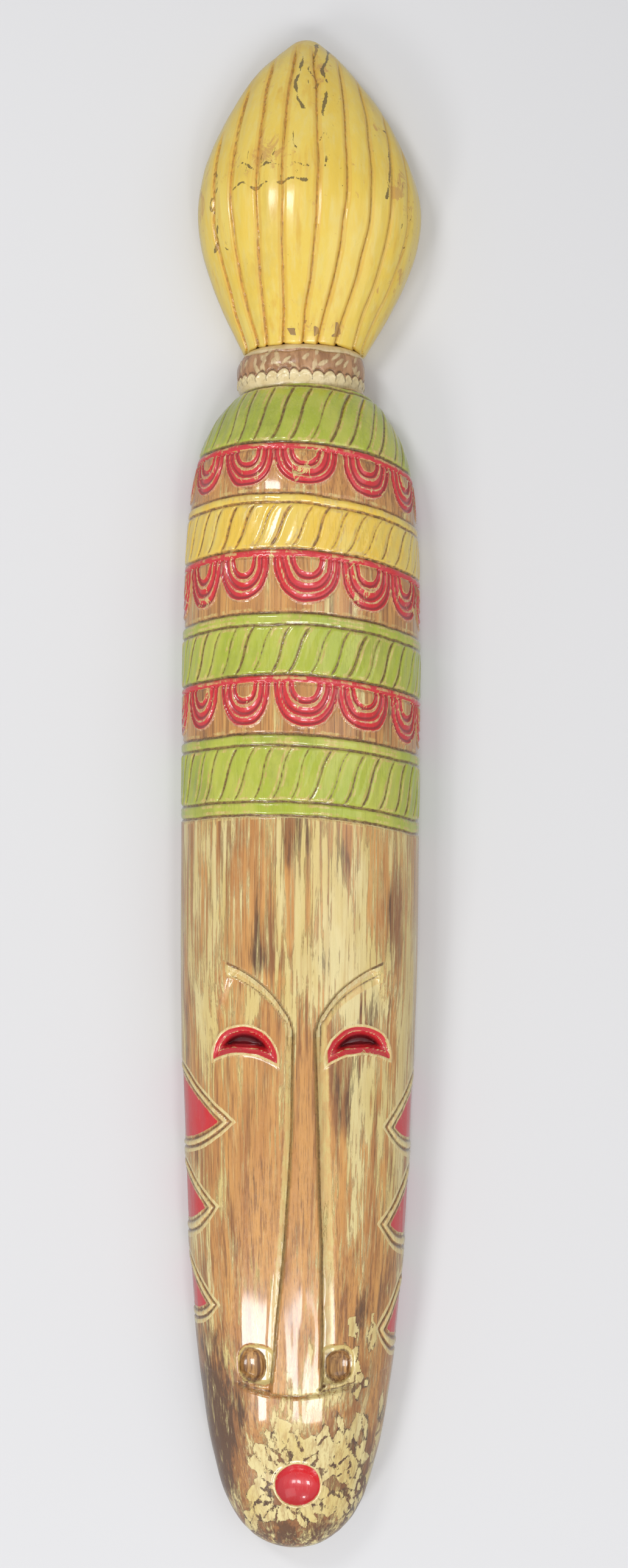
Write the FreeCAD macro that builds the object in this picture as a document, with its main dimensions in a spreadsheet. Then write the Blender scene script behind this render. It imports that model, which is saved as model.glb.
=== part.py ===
"""Carved wooden wall mask: a long half-round face with a banded headdress, a collar, a pointed
topknot and a D-ring hanger in a recess of the hollowed back.

Millimetres, +Z up. The face looks along -Y and the flat back lies in the plane y = 0, against the
wall. Heights in the sheet are counted from the tip of the chin. Every sub-part is then lowered by
hang_height, so the origin is on the wall plane at the height where a nail bears on the ring.
Left and right are the onlooker's.
"""

import FreeCAD
import Part
import math
import os
import Sketcher

from FreeCAD import Placement, Rotation, Vector

doc = FreeCAD.newDocument("carved_mask")
sheet = doc.addObject("Spreadsheet::Sheet", "dims")
rows_used = 0


def define(alias, value, note):
    """Writes one driving dimension into the sheet."""
    global rows_used
    rows_used += 1
    sheet.set(f"A{rows_used}", note)
    sheet.set(f"B{rows_used}", str(value))
    sheet.setAlias(f"B{rows_used}", alias)


def size(alias):
    """The sheet's value of a dimension."""
    return float(sheet.get(alias))


# ---------------------------------------------------------------- driving dimensions

# Oval stations of each lofted form: height, half width, depth from the wall, sideways shift
FORMS = {
    "body": [
        (0, 9, 18, 0),
        (6, 24.5, 31, 0),
        (16, 36, 39, 0),
        (32, 45.5, 47, 0),
        (62, 54.5, 55, 0),
        (110, 63, 63, 0),
        (170, 69.5, 69, 0),
        (250, 74.5, 74, 0),
        (350, 78, 78, 0),
        (480, 79, 80, 0),
        (600, 78.7, 80, 0),
        (665, 76.8, 78, 0),
        (705, 72.8, 74, 0),
        (730, 65.5, 67, 0),
        (748, 55.5, 57, 0),
        (762, 44, 47, 0),
    ],
    # the lowered ground of cheeks, lips and chin, beside and below brows and nose
    "ground": [
        (0, 8.5, 17, 0),
        (6, 24, 29, 0),
        (16, 35.5, 36, 0),
        (32, 45, 42.5, 0),
        (62, 54, 48.5, 0),
        (110, 62.5, 56.5, 0),
        (170, 69, 63.5, 0),
        (250, 74, 69, 0),
        (330, 76.3, 72, 0),
        (400, 76.9, 74, 0),
        (470, 76.9, 75.5, 0),
    ],
    "collar": [
        (762, 39, 42, -2),
        (769, 42, 45, -2),
        (777, 42.5, 46, -2),
        (785, 40.5, 44, -1),
        (790, 38.5, 41, 0),
    ],
    "topknot": [
        (790, 41.5, 42, 0.5),
        (810, 51, 50, 1.5),
        (835, 63, 58, 2.5),
        (862, 72, 64, 3),
        (884, 74, 66, 3),
        (908, 70, 63, 2),
        (932, 60, 57, 1),
        (955, 47, 48, 0),
        (975, 32, 37, -1),
        (990, 16.5, 25, 0),
        (1000, 6, 15, 0),
    ],
}
for form, stations in FORMS.items():
    for n, values in enumerate(stations):
        for kind, value in zip(("level", "half", "deep", "shift"), values):
            define(f"{form}_{kind}_{n}", value, f"{form}, station {n}: {kind}")

BORDERS = (719, 684, 648, 609, 567, 531, 494, 481)
for n, level in enumerate(BORDERS):
    define(f"border_{n}", level, f"height of carved border line {n}")

DIMENSIONS = {
    "mask_height": (1000, "height of the whole mask"),
    "overshoot": (20, "how far blocks that only cut reach past the wood"),
    "belly": (10, "distance from the wall at which the ovals are widest"),
    "hang_height": (719.3, "height above the chin at which a nail bears on the ring"),
    "groove_depth": (2, "depth of the carved lines"),
    "groove_width": (2.4, "width of the carved lines"),
    "band_tilt": (2.8, "degrees that the headdress bands fall to the right"),
    "side_wall": (15, "thickness of the hollowed wood at the sides"),
    "front_wall": (28, "thickness of the hollowed wood at the front"),
    "hollow_low": (48, "height of the hollow's lower end"),
    "hollow_high": (652, "height of the hollow's upper end"),
    "recess_high": (738, "height of the upper end of the hanger's recess"),
    "recess_width": (40, "width of the hanger's recess"),
    "recess_depth": (11, "depth of the hanger's recess"),
    "face_shift": (3, "distance of brows, eyes and nose's upper end right of the middle"),
    "mouth_shift": (1.5, "distance of mouth, nostrils and nose's base right of the middle"),
    "nose_base": (117, "height of the nose's lower edge"),
    "nose_base_half": (15.4, "half width of the nose at its base"),
    "nose_top": (356, "height at which the brows run into the nose"),
    "nose_top_half": (6.5, "half width of the nose between the brows"),
    "brow_height": (392, "height of the brows' outer tips"),
    "brow_reach": (48, "distance of the brows' outer tips from the middle"),
    "eye_middle": (36, "distance of an eye's middle from the face's middle"),
    "eye_half": (20.5, "half width of an eye"),
    "eye_base": (328.3, "height of an eye's corners"),
    "eye_rise": (23.2, "rise of an eye's upper arc above its corners"),
    "eye_sag": (6.4, "rise of an eye's lower arc above its corners"),
    "eye_floor": (57, "distance of the eye pockets' floor from the wall"),
    "nostril_middle": (26.5, "distance of a nostril from the middle"),
    "nostril_height": (132, "height of the nostrils' middles"),
    "nostril_half": (9, "half width of a nostril"),
    "nostril_rise": (11, "half height of a nostril"),
    "nostril_reach": (16, "distance over which a nostril's scoop slopes inwards"),
    "nostril_floor": (48, "distance of the nostrils' floor from the wall"),
    "mouth_height": (53, "height of the mouth's middle"),
    "mouth_radius": (14.8, "radius of the mouth's rim"),
    "mouth_rim": (46.5, "distance of the mouth's rim from the wall"),
    "mouth_depth": (9, "depth of the mouth's bowl"),
    "dowel_radius": (5, "radius of the dowels in the neck"),
    "dowel_length": (68, "length of the dowels"),
    "dowel_middle": (16, "distance of a dowel from the middle"),
    "dowel_back": (24, "distance of the dowels' axes from the wall"),
    "dowel_low": (742, "height of the dowels' lower ends"),
    "dowel_room": (0.5, "room left above the dowels in the topknot"),
    "dowel_bevel": (1, "bevel at the dowels' ends"),
    "glue_gap": (0.1, "radial gap for glue around the dowels"),
    "strap_width": (10, "width of the hanger's strap"),
    "strap_gauge": (1.2, "thickness of the strap's sheet"),
    "strap_length": (33, "length of the strap's leaf below the ring's hinge"),
    "strap_corner": (4.5, "radius of the leaf's lower corners"),
    "strap_curl": (70, "degrees by which the strap's curl falls short of closing"),
    "hinge_height": (699.4, "height of the ring's hinge"),
    "wire_radius": (1.25, "radius of the ring's wire"),
    "eye_gap": (0.08, "radial gap between the wire and the strap's curl"),
    "ring_half": (11, "half width of the ring, to the wire's middle"),
    "ring_side": (7.2, "length of the ring's straight sides"),
    "ring_corner": (3, "radius of the ring's two lower corners"),
    "ring_lean": (2.5, "degrees that the resting ring leans towards the wood"),
    "screw_upper": (9, "distance of the upper screw below the hinge"),
    "screw_lower": (27, "distance of the lower screw below the hinge"),
    "shank_radius": (1.75, "radius of the screws' shanks"),
    "shank_length": (15, "length of the screws below their heads"),
    "point_length": (3, "length of the screws' points"),
    "head_radius": (3.2, "radius of the screws' heads"),
    "head_edge": (0.8, "height of the heads' upright edge"),
    "head_height": (2, "height of the screws' heads"),
    "drive_width": (0.9, "width of the cross in the screws' heads"),
    "drive_length": (3.4, "length of the cross in the screws' heads"),
    "drive_depth": (1.2, "depth of the cross in the screws' heads"),
    "hole_gap": (0.15, "radial gap around the screws' shanks"),
}
for alias, (value, note) in DIMENSIONS.items():
    define(alias, value, note)
doc.recompute()

FAR = 120.0  # further than any part of the mask reaches from the middle
SKIN = 82.0  # just past the widest place of the skin
BROW_BOW = (0.34, 0.55)  # where a brow's arc passes between nose and tip: shares of reach and rise
HINGE_BACK = "(dims.recess_depth - dims.strap_gauge - dims.eye_gap - dims.wire_radius)"
SIDES = ((-1, "left"), (1, "right"))


# ---------------------------------------------------------------- building blocks


def bind(thing, **expressions):
    """Binds properties to expressions of the sheet. Two underscores stand for a dot."""
    for name, expression in expressions.items():
        thing.setExpression(name.replace("__", "."), expression)
    return thing


def place(thing, x="0", y="0", z="0"):
    return bind(
        thing,
        Placement__Base__x=x,
        Placement__Base__y=y,
        Placement__Base__z=z,
    )


def lowered(thing):
    """Moves a finished wooden part down so that the origin lies where a nail bears."""
    return place(thing, z="-dims.hang_height")


def loft(label, form, inset="0", front_inset=None, stations=None):
    """A smooth solid through a form's ovals, each made smaller by the insets."""
    front_inset = front_inset or inset
    ovals = []
    for n in stations or range(len(FORMS[form])):
        oval = doc.addObject("Part::Ellipse", f"{label}_oval_{n}")
        bind(
            oval,
            MajorRadius=f"dims.{form}_half_{n} - {inset}",
            MinorRadius=f"dims.{form}_deep_{n} - dims.belly - {front_inset}",
        )
        place(
            oval, f"dims.{form}_shift_{n}", "-dims.belly", f"dims.{form}_level_{n}"
        )
        ovals.append(oval)
    solid = doc.addObject("Part::Loft", label)
    solid.Sections = ovals
    solid.Solid = True
    return solid


def box(label, corner, sides):
    """A block given by its lowest corner and its sides, all expressions of the sheet."""
    block = doc.addObject("Part::Box", label)
    bind(block, Length=sides[0], Width=sides[1], Height=sides[2])
    return place(block, *corner)


def round_hole(label, radius, length, x, y, z, towards_face=False):
    """A round hole that runs upwards, or from the back towards the face."""
    hole = doc.addObject("Part::Cylinder", label)
    if towards_face:
        hole.Placement = Placement(Vector(), Rotation(Vector(1, 0, 0), 90))
    bind(hole, Radius=radius, Height=length)
    return place(hole, x, y, z)


def boolean(kind, label, base, tool):
    """Cut or Common of two solids."""
    made = doc.addObject(f"Part::{kind}", label)
    made.Base = base
    made.Tool = tool
    made.Refine = False
    return made


def gathered(label, pieces, kind="Compound"):
    """Several solids as one: side by side, or fused."""
    made = doc.addObject(f"Part::{kind}", label)
    if kind == "Compound":
        made.Links = pieces
    else:
        made.Shapes = pieces
        made.Refine = False
    return made


def swept_outline(label, edges):
    """A closed outline in the plane of the wall, swept from there past the face."""
    made = doc.addObject("Part::Feature", label)
    wire = Part.Wire(Part.__sortEdges__(edges))
    made.Shape = Part.Face(wire).extrude(Vector(0, -FAR, 0))
    return made


def at(x, z):
    return Vector(x, 0, z)


def line(a, b):
    return Part.LineSegment(a, b).toShape()


def arc(a, b, c):
    return Part.Arc(a, b, c).toShape()


def curve(points):
    smooth = Part.BSplineCurve()
    smooth.interpolate(points)
    return smooth.toShape()


def curved_line(label, points):
    """A carved line of groove_width along a smooth curve that mostly runs upwards."""
    half = at(size("groove_width") / 2, 0)
    edges = [
        curve([p - half for p in points]),
        curve([p + half for p in points]),
        line(points[0] - half, points[0] + half),
        line(points[-1] - half, points[-1] + half),
    ]
    return swept_outline(label, edges)


def straight_line(label, a, b):
    """A carved straight line of groove_width between two points."""
    along = (b - a).normalize()
    across = at(-along.z, along.x) * (size("groove_width") / 2)
    corners = [a - across, b - across, b + across, a + across]
    edges = [line(corners[n - 1], corners[n]) for n in range(4)]
    return swept_outline(label, edges)


def dowel_holes(label, z, length):
    holes = [
        round_hole(
            f"{label}_{name}",
            "dims.dowel_radius + dims.glue_gap",
            length,
            f"{side} * dims.dowel_middle",
            "-dims.dowel_back",
            z,
        )
        for side, name in SIDES
    ]
    return gathered(label, holes)


def flat_back(label, solid):
    """Trims a solid at the plane of the wall."""
    behind = box(
        f"{label}_behind",
        (f"-{FAR}", "0", "-dims.overshoot"),
        (f"2 * {FAR}", f"{FAR}", "dims.mask_height + 2 * dims.overshoot"),
    )
    return boolean("Cut", label, solid, behind)


# ---------------------------------------------------------------- the face and headdress


def high_region():
    """Outline of all that keeps its full height: headdress, forehead, brows and nose."""
    base, top, brow = size("nose_base"), size("nose_top"), size("brow_height")
    wide, narrow, reach = (
        size("nose_base_half"),
        size("nose_top_half"),
        size("brow_reach"),
    )
    crown = size("body_level_15") + 10
    temple = brow + 12
    low, high = at(size("mouth_shift"), base), at(size("face_shift"), 0)
    edges = [
        line(low - at(wide, 0), low + at(wide, 0)),
        line(at(-FAR, crown), at(FAR, crown)),
    ]
    for side, _ in SIDES:
        tip = high + at(side * reach, brow)
        root = high + at(side * narrow, top)
        bow = root + at(
            side * BROW_BOW[0] * (reach - narrow), BROW_BOW[1] * (brow - top)
        )
        edges += [
            line(low + at(side * wide, 0), root),
            arc(root, bow, tip),
            line(tip, at(side * FAR, temple)),
            line(at(side * FAR, temple), at(side * FAR, crown)),
        ]
    return swept_outline("high_region", edges)


def eye_pocket(side, name):
    """A crescent between two arcs, cut down to the pocket's floor."""
    middle = size("face_shift") + side * size("eye_middle")
    half, base = size("eye_half"), size("eye_base")
    left, right = at(middle - half, base), at(middle + half, base)
    crescent = swept_outline(
        f"eye_{name}_crescent",
        [
            arc(left, at(middle, base + size("eye_rise")), right),
            arc(right, at(middle, base + size("eye_sag")), left),
        ],
    )
    kept = box(
        f"eye_{name}_kept",
        (f"-{FAR}", "-dims.eye_floor", "dims.eye_base - dims.overshoot"),
        (f"2 * {FAR}", f"{FAR}", "dims.eye_rise + 2 * dims.overshoot"),
    )
    return boolean("Cut", f"eye_{name}_pocket", crescent, kept)


def nostril(side, name):
    scoop = doc.addObject("Part::Ellipsoid", f"nostril_{name}")
    scoop.Angle1, scoop.Angle2, scoop.Angle3 = -90, 90, 360
    bind(
        scoop,
        Radius1="dims.nostril_rise",
        Radius2="dims.nostril_half",
        Radius3="dims.nostril_reach",
    )
    return place(
        scoop,
        f"dims.mouth_shift + {side} * dims.nostril_middle",
        "-dims.nostril_floor - dims.nostril_reach",
        "dims.nostril_height",
    )


def mouth_bowl():
    ball = "((dims.mouth_radius ^ 2 + dims.mouth_depth ^ 2) / (2 * dims.mouth_depth))"
    bowl = doc.addObject("Part::Sphere", "mouth_bowl")
    bind(bowl, Radius=ball)
    return place(
        bowl,
        "dims.mouth_shift",
        f"dims.mouth_depth - dims.mouth_rim - {ball}",
        "dims.mouth_height",
    )


# The zigzag carved on each side of the face: side, upper end, point, its distance, lower end
SIDE_TRIANGLES = (
    (-1, 322.6, 290, 40, 262),
    (-1, 259.3, 234, 50.3, 205),
    (-1, 196, 169.4, 49.4, 148.4),
    (1, 317, 286, 55, 259),
    (1, 255, 222.7, 52.9, 195),
    (1, 182.6, 153.7, 51.9, 126.6),
)


def side_lines():
    made = []
    for side, upper, level, reach, lower in SIDE_TRIANGLES:
        for end in (upper, lower):
            label = f"side_line_{len(made)}"
            edge = at(side * SKIN, end)
            made.append(straight_line(label, at(side * reach, level), edge))
    return gathered("side_lines", made)


def band_borders(skin):
    """Thin rings at the borders of the headdress bands, tilted about the middle."""
    rings = []
    for n in range(len(BORDERS)):
        slab = doc.addObject("Part::Box", f"border_slab_{n}")
        slab.Placement = Placement(Vector(), Rotation(Vector(0, 1, 0), 1))
        bind(
            slab,
            Length=f"2 * {FAR}",
            Width=f"{FAR} + 1",
            Height="dims.groove_width",
            Placement__Rotation__Angle="dims.band_tilt",
        )
        rise = f"{FAR} * sin(dims.band_tilt * 1 deg)"
        place(slab, f"-{FAR}", f"-{FAR}", f"dims.border_{n} + {rise}")
        rings.append(boolean("Cut", f"border_ring_{n}", slab, skin))
    return rings


def make_mask_body():
    full = loft("body_full", "body")
    ground = loft("body_ground", "ground")
    high = boolean("Common", "body_high", full, high_region())
    carved = gathered("body_front", [ground, high], "MultiFuse")

    body_skin = loft("body_under_lines", "body", "dims.groove_depth")
    ground_skin = loft("ground_under_lines", "ground", "dims.groove_depth")
    triangles = boolean("Cut", "triangle_lines", side_lines(), ground_skin)

    hollow = loft(
        "hollow_form", "body", "dims.side_wall", "dims.front_wall", range(3, 13)
    )
    span = box(
        "hollow_span",
        (f"-{FAR}", f"-{FAR}", "dims.hollow_low"),
        (f"2 * {FAR}", f"2 * {FAR}", "dims.hollow_high - dims.hollow_low"),
    )
    cavity = boolean("Common", "hollow", hollow, span)
    recess = box(
        "hanger_recess",
        (
            "-dims.recess_width / 2",
            "-dims.recess_depth",
            "dims.hollow_high - dims.overshoot",
        ),
        (
            "dims.recess_width",
            "dims.recess_depth + dims.overshoot",
            "dims.recess_high - dims.hollow_high + dims.overshoot",
        ),
    )
    pilots = [
        round_hole(
            f"pilot_{name}",
            "dims.shank_radius + dims.hole_gap",
            "dims.shank_length + dims.overshoot",
            "0",
            "dims.overshoot - dims.recess_depth",
            f"dims.hinge_height - dims.screw_{name}",
            towards_face=True,
        )
        for name in ("upper", "lower")
    ]
    scoops = [eye_pocket(side, name) for side, name in SIDES]
    scoops += [nostril(side, name) for side, name in SIDES]
    scoops.append(mouth_bowl())

    cutters = [
        *band_borders(body_skin),
        triangles,
        gathered("scoops", scoops),
        gathered("back_cuts", [cavity, recess], "MultiFuse"),
        gathered("pilots", pilots),
        dowel_holes("body_dowel_holes", "dims.dowel_low", "dims.dowel_length"),
    ]
    made = flat_back("body_flat", carved)
    for n, cutter in enumerate(cutters):
        made = boolean("Cut", f"body_carved_{n}", made, cutter)
    made.Label = "mask_body"
    return lowered(made)


# ---------------------------------------------------------------- collar and topknot


def make_collar():
    ring = flat_back("collar_flat", loft("collar_full", "collar"))
    holes = dowel_holes("collar_dowel_holes", "dims.dowel_low", "dims.dowel_length")
    return lowered(boolean("Cut", "collar", ring, holes))


# Places of the topknot's grooves at its foot, widest level and upper end, and that end's height
TOPKNOT_LINES = (
    (-38, -60, -56, 925),
    (-31, -48, -38, 961),
    (-24, -32, -23, 980),
    (-13, -15, -6, 990),
    (-1, 10, 7, 988),
    (9, 27, 22, 980),
    (20, 44, 35, 966),
    (32, 58, 52, 945),
)


def make_topknot():
    full = loft("topknot_full", "topknot")
    under = loft("topknot_under_lines", "topknot", "dims.groove_depth")
    foot, widest = size("topknot_level_0"), size("topknot_level_4")
    lines = []
    for n, (low, middle, top, end) in enumerate(TOPKNOT_LINES):
        points = [
            at(low, foot - 4),
            at(low + 0.65 * (middle - low), (foot + widest) / 2),
            at(middle, widest),
            at(middle + 0.3 * (top - middle), (widest + end) / 2),
            at(top, end),
        ]
        lines.append(curved_line(f"topknot_line_{n}", points))
    grooves = boolean("Cut", "topknot_grooves", gathered("topknot_lines", lines), under)
    made = boolean("Cut", "topknot_ribbed", flat_back("topknot_flat", full), grooves)
    reach = "dims.dowel_length + dims.dowel_room"
    holes = dowel_holes("topknot_dowel_holes", "dims.dowel_low", reach)
    return lowered(boolean("Cut", "topknot", made, holes))


# ---------------------------------------------------------------- turned and bent pieces


def new_sketch(body, name, role):
    """A sketch on one of the body's own planes."""
    sketch = body.newObject("Sketcher::SketchObject", name)
    planes = {feature.Role: feature for feature in body.Origin.OriginFeatures}
    sketch.AttachmentSupport = [(planes[role], "")]
    sketch.MapMode = "FlatFace"
    return sketch


def flat(x, y):
    return Vector(x, y, 0)


def sketch_line(a, b):
    return Part.LineSegment(flat(*a), flat(*b))


def sketch_arc(middle, radius, start, end):
    """An arc from one angle to another, in degrees and anticlockwise."""
    whole = Part.Circle(flat(*middle), Vector(0, 0, 1), radius)
    return Part.ArcOfCircle(whole, math.radians(start), math.radians(end))


def constrain(sketch, *rules):
    """Adds constraints; one with an expression at its end is bound to the sheet."""
    for rule in rules:
        if rule[0] in ("DistanceX", "DistanceY", "Radius", "Angle"):
            *rule, start, expression = rule
            n = sketch.addConstraint(Sketcher.Constraint(*rule, start))
            sketch.setExpression(f"Constraints[{n}]", expression)
        else:
            sketch.addConstraint(Sketcher.Constraint(*rule))


def make_dowel(side, name):
    body = doc.addObject("PartDesign::Body", f"dowel_{name}")
    outline = new_sketch(body, f"dowel_{name}_round", "XY_Plane")
    outline.addGeometry(Part.Circle(flat(0, 0), Vector(0, 0, 1), 5), False)
    constrain(
        outline,
        ("Coincident", 0, 3, -1, 1),
        ("Radius", 0, 5, "dims.dowel_radius"),
    )
    bar = body.newObject("PartDesign::Pad", f"dowel_{name}_bar")
    bar.Profile = outline
    bind(bar, Length="dims.dowel_length")
    doc.recompute()
    rims = [n for n, e in enumerate(bar.Shape.Edges, 1) if e.isClosed()]
    bevel = body.newObject("PartDesign::Chamfer", f"dowel_{name}_bevel")
    bevel.Base = (bar, [f"Edge{n}" for n in rims])
    bind(bevel, Size="dims.dowel_bevel")
    return place(
        body,
        f"{side} * dims.dowel_middle",
        "-dims.dowel_back",
        "dims.dowel_low - dims.hang_height",
    )


def make_strap():
    """A strip of sheet that is curled round the hinge and runs down behind the screws."""
    body = doc.addObject("PartDesign::Body", "hanger_strap")
    inner = size("wire_radius") + size("eye_gap")
    outer, length = inner + size("strap_gauge"), size("strap_length")
    end = -size("strap_curl")
    tip = (math.cos(math.radians(end)), math.sin(math.radians(end)))
    bore, curl = "dims.wire_radius + dims.eye_gap", "dims.strap_curl * 1 deg"
    strip = new_sketch(body, "strap_strip", "YZ_Plane")
    strip.addGeometry(
        [
            sketch_line((-outer, -length), (-outer, 0)),
            sketch_arc((0, 0), outer, end, 180),
            sketch_line(
                (outer * tip[0], outer * tip[1]), (inner * tip[0], inner * tip[1])
            ),
            sketch_arc((0, 0), inner, end, 180),
            sketch_line((-inner, 0), (-inner, -length)),
            sketch_line((-inner, -length), (-outer, -length)),
        ],
        False,
    )
    constrain(
        strip,
        ("Coincident", 1, 3, -1, 1),
        ("Coincident", 3, 3, -1, 1),
        ("Tangent", 0, 2, 1, 2),
        ("Coincident", 1, 1, 2, 1),
        ("Coincident", 2, 2, 3, 1),
        ("Tangent", 3, 2, 4, 1),
        ("Coincident", 4, 2, 5, 1),
        ("Coincident", 5, 2, 0, 1),
        ("Vertical", 0),
        ("Vertical", 4),
        ("Horizontal", 5),
        ("PointOnObject", -1, 1, 2),
        ("Radius", 1, outer, f"{bore} + dims.strap_gauge"),
        ("Radius", 3, inner, bore),
        ("DistanceY", 0, 1, 0, 2, length, "dims.strap_length"),
        ("DistanceX", -1, 1, 3, 1, inner * tip[0], f"({bore}) * cos({curl})"),
    )
    leaf = body.newObject("PartDesign::Pad", "strap_leaf")
    leaf.Profile = strip
    leaf.Midplane = True
    bind(leaf, Length="dims.strap_width")
    doc.recompute()

    corners = []
    for n, edge in enumerate(leaf.Shape.Edges, 1):
        reach = edge.BoundBox
        if reach.ZMax < 1 - length and reach.XLength < 0.1:
            corners.append(f"Edge{n}")
    rounded = body.newObject("PartDesign::Fillet", "strap_corners")
    rounded.Base = (leaf, corners)
    bind(rounded, Radius="dims.strap_corner")

    holes = new_sketch(body, "strap_hole_places", "XZ_Plane")
    for n, name in enumerate(("upper", "lower")):
        down = size(f"screw_{name}")
        holes.addGeometry(Part.Circle(flat(0, -down), Vector(0, 0, 1), 2), False)
        constrain(
            holes,
            ("PointOnObject", n, 3, -2),
            ("DistanceY", n, 3, -1, 1, down, f"dims.screw_{name}"),
            ("Radius", n, 2, "dims.shank_radius + dims.hole_gap"),
        )
    drilled = body.newObject("PartDesign::Pocket", "strap_holes")
    drilled.Profile = holes
    drilled.Type = "ThroughAll"
    drilled.Midplane = True
    return place(
        body, "0", f"-{HINGE_BACK}", "dims.hinge_height - dims.hang_height"
    )


def make_ring():
    """A closed D of round wire: a hinge bar, two straight sides and a half circle."""
    body = doc.addObject("PartDesign::Body", "hanger_ring")
    half, corner, side = size("ring_half"), size("ring_corner"), size("ring_side")
    bar, top = half - corner, corner + side
    path = new_sketch(body, "ring_path", "XZ_Plane")
    path.addGeometry(
        [
            sketch_line((-bar, 0), (bar, 0)),
            sketch_arc((bar, corner), corner, -90, 0),
            sketch_line((half, corner), (half, top)),
            sketch_arc((0, top), half, 0, 180),
            sketch_line((-half, top), (-half, corner)),
            sketch_arc((-bar, corner), corner, 180, 270),
        ],
        False,
    )
    constrain(path, *[("Tangent", n, 2, (n + 1) % 6, 1) for n in range(6)])
    constrain(
        path,
        ("Horizontal", 0),
        ("PointOnObject", 0, 1, -1),
        ("Vertical", 2),
        ("Vertical", 4),
        ("PointOnObject", 3, 3, -2),
        ("Equal", 1, 5),
        ("Radius", 3, half, "dims.ring_half"),
        ("Radius", 1, corner, "dims.ring_corner"),
        ("DistanceY", 2, 1, 2, 2, side, "dims.ring_side"),
    )
    wire = new_sketch(body, "ring_wire", "YZ_Plane")
    wire.addGeometry(Part.Circle(flat(0, 0), Vector(0, 0, 1), 1), False)
    constrain(
        wire,
        ("Coincident", 0, 3, -1, 1),
        ("Radius", 0, 1, "dims.wire_radius"),
    )
    bent = body.newObject("PartDesign::AdditivePipe", "ring_bent")
    bent.Profile = wire
    bent.Spine = (path, [])
    body.Placement = Placement(Vector(), Rotation(Vector(1, 0, 0), 1))
    bind(body, Placement__Rotation__Angle="dims.ring_lean")
    return place(
        body, "0", f"-{HINGE_BACK}", "dims.hinge_height - dims.hang_height"
    )


def make_screw(name):
    """A pan-head wood screw with a cross in its head, driven in from the back."""
    body = doc.addObject("PartDesign::Body", f"screw_{name}")
    shank, head = size("shank_radius"), size("head_radius")
    length, point = size("shank_length"), size("point_length")
    edge, height = size("head_edge"), size("head_height")
    profile = new_sketch(body, f"screw_{name}_profile", "XZ_Plane")
    corners = (
        (0, -length),
        (shank, point - length),
        (shank, 0),
        (head, 0),
        (head, edge),
        (head / 2, height),
        (0, height),
    )
    count = len(corners)
    outline = [sketch_line(corners[n], corners[(n + 1) % count]) for n in range(count)]
    profile.addGeometry(outline, False)
    links = [("Coincident", n, 2, (n + 1) % count, 1) for n in range(count)]
    constrain(profile, *links)
    constrain(
        profile,
        ("PointOnObject", 0, 1, -2),
        ("Vertical", 1),
        ("Horizontal", 2),
        ("PointOnObject", 2, 1, -1),
        ("Vertical", 3),
        ("Horizontal", 5),
        ("PointOnObject", 6, 1, -2),
        ("DistanceY", 0, 1, -1, 1, length, "dims.shank_length"),
        ("DistanceY", 0, 1, 0, 2, point, "dims.point_length"),
        ("DistanceX", -1, 1, 1, 1, shank, "dims.shank_radius"),
        ("DistanceX", -1, 1, 3, 1, head, "dims.head_radius"),
        ("DistanceX", -1, 1, 5, 1, head / 2, "dims.head_radius / 2"),
        ("DistanceY", -1, 1, 3, 2, edge, "dims.head_edge"),
        ("DistanceY", -1, 1, 6, 1, height, "dims.head_height"),
    )
    turned = body.newObject("PartDesign::Revolution", f"screw_{name}_turned")
    turned.Profile = profile
    turned.ReferenceAxis = (profile, ["V_Axis"])
    turned.Angle = 360

    for n in range(2):
        slot = new_sketch(body, f"screw_{name}_slot_{n}", "XY_Plane")
        wide, deep = size("drive_length") / 2, size("drive_width") / 2
        names = ("drive_length", "drive_width")
        if n == 1:
            wide, deep = deep, wide
            names = names[::-1]
        slot.addGeometry(
            [
                sketch_line((-wide, -deep), (wide, -deep)),
                sketch_line((wide, -deep), (wide, deep)),
                sketch_line((wide, deep), (-wide, deep)),
                sketch_line((-wide, deep), (-wide, -deep)),
            ],
            False,
        )
        slot.AttachmentOffset = Placement(Vector(0, 0, height), Rotation())
        bind(slot, AttachmentOffset__Base__z="dims.head_height")
        constrain(slot, *[("Coincident", k, 2, (k + 1) % 4, 1) for k in range(4)])
        constrain(
            slot,
            ("Horizontal", 0),
            ("Vertical", 1),
            ("Horizontal", 2),
            ("Vertical", 3),
            ("Symmetric", 0, 1, 1, 2, -1, 1),
            ("DistanceX", 0, 1, 0, 2, 2 * wide, f"dims.{names[0]}"),
            ("DistanceY", 1, 1, 1, 2, 2 * deep, f"dims.{names[1]}"),
        )
        pressed = body.newObject("PartDesign::Pocket", f"screw_{name}_cross_{n}")
        pressed.Profile = slot
        bind(pressed, Length="dims.drive_depth")
    body.Placement = Placement(Vector(), Rotation(Vector(1, 0, 0), -90))
    return place(
        body,
        "0",
        "dims.strap_gauge - dims.recess_depth",
        f"dims.hinge_height - dims.screw_{name} - dims.hang_height",
    )


# ---------------------------------------------------------------- the whole mask


def named(label, thing):
    thing.Label = label
    return thing


NODES = [
    make_mask_body(),
    make_collar(),
    make_topknot(),
    named("neck_dowels", gathered("dowels", [make_dowel(*s) for s in SIDES])),
    make_strap(),
    make_ring(),
    named("hanger_screws", gathered("screws", [make_screw("upper"), make_screw("lower")])),
]
doc.recompute()

for thing in doc.Objects:
    if "Invalid" in thing.State or "Error" in thing.State:
        raise RuntimeError(f"{thing.Label} could not be computed: {thing.State}")

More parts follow.
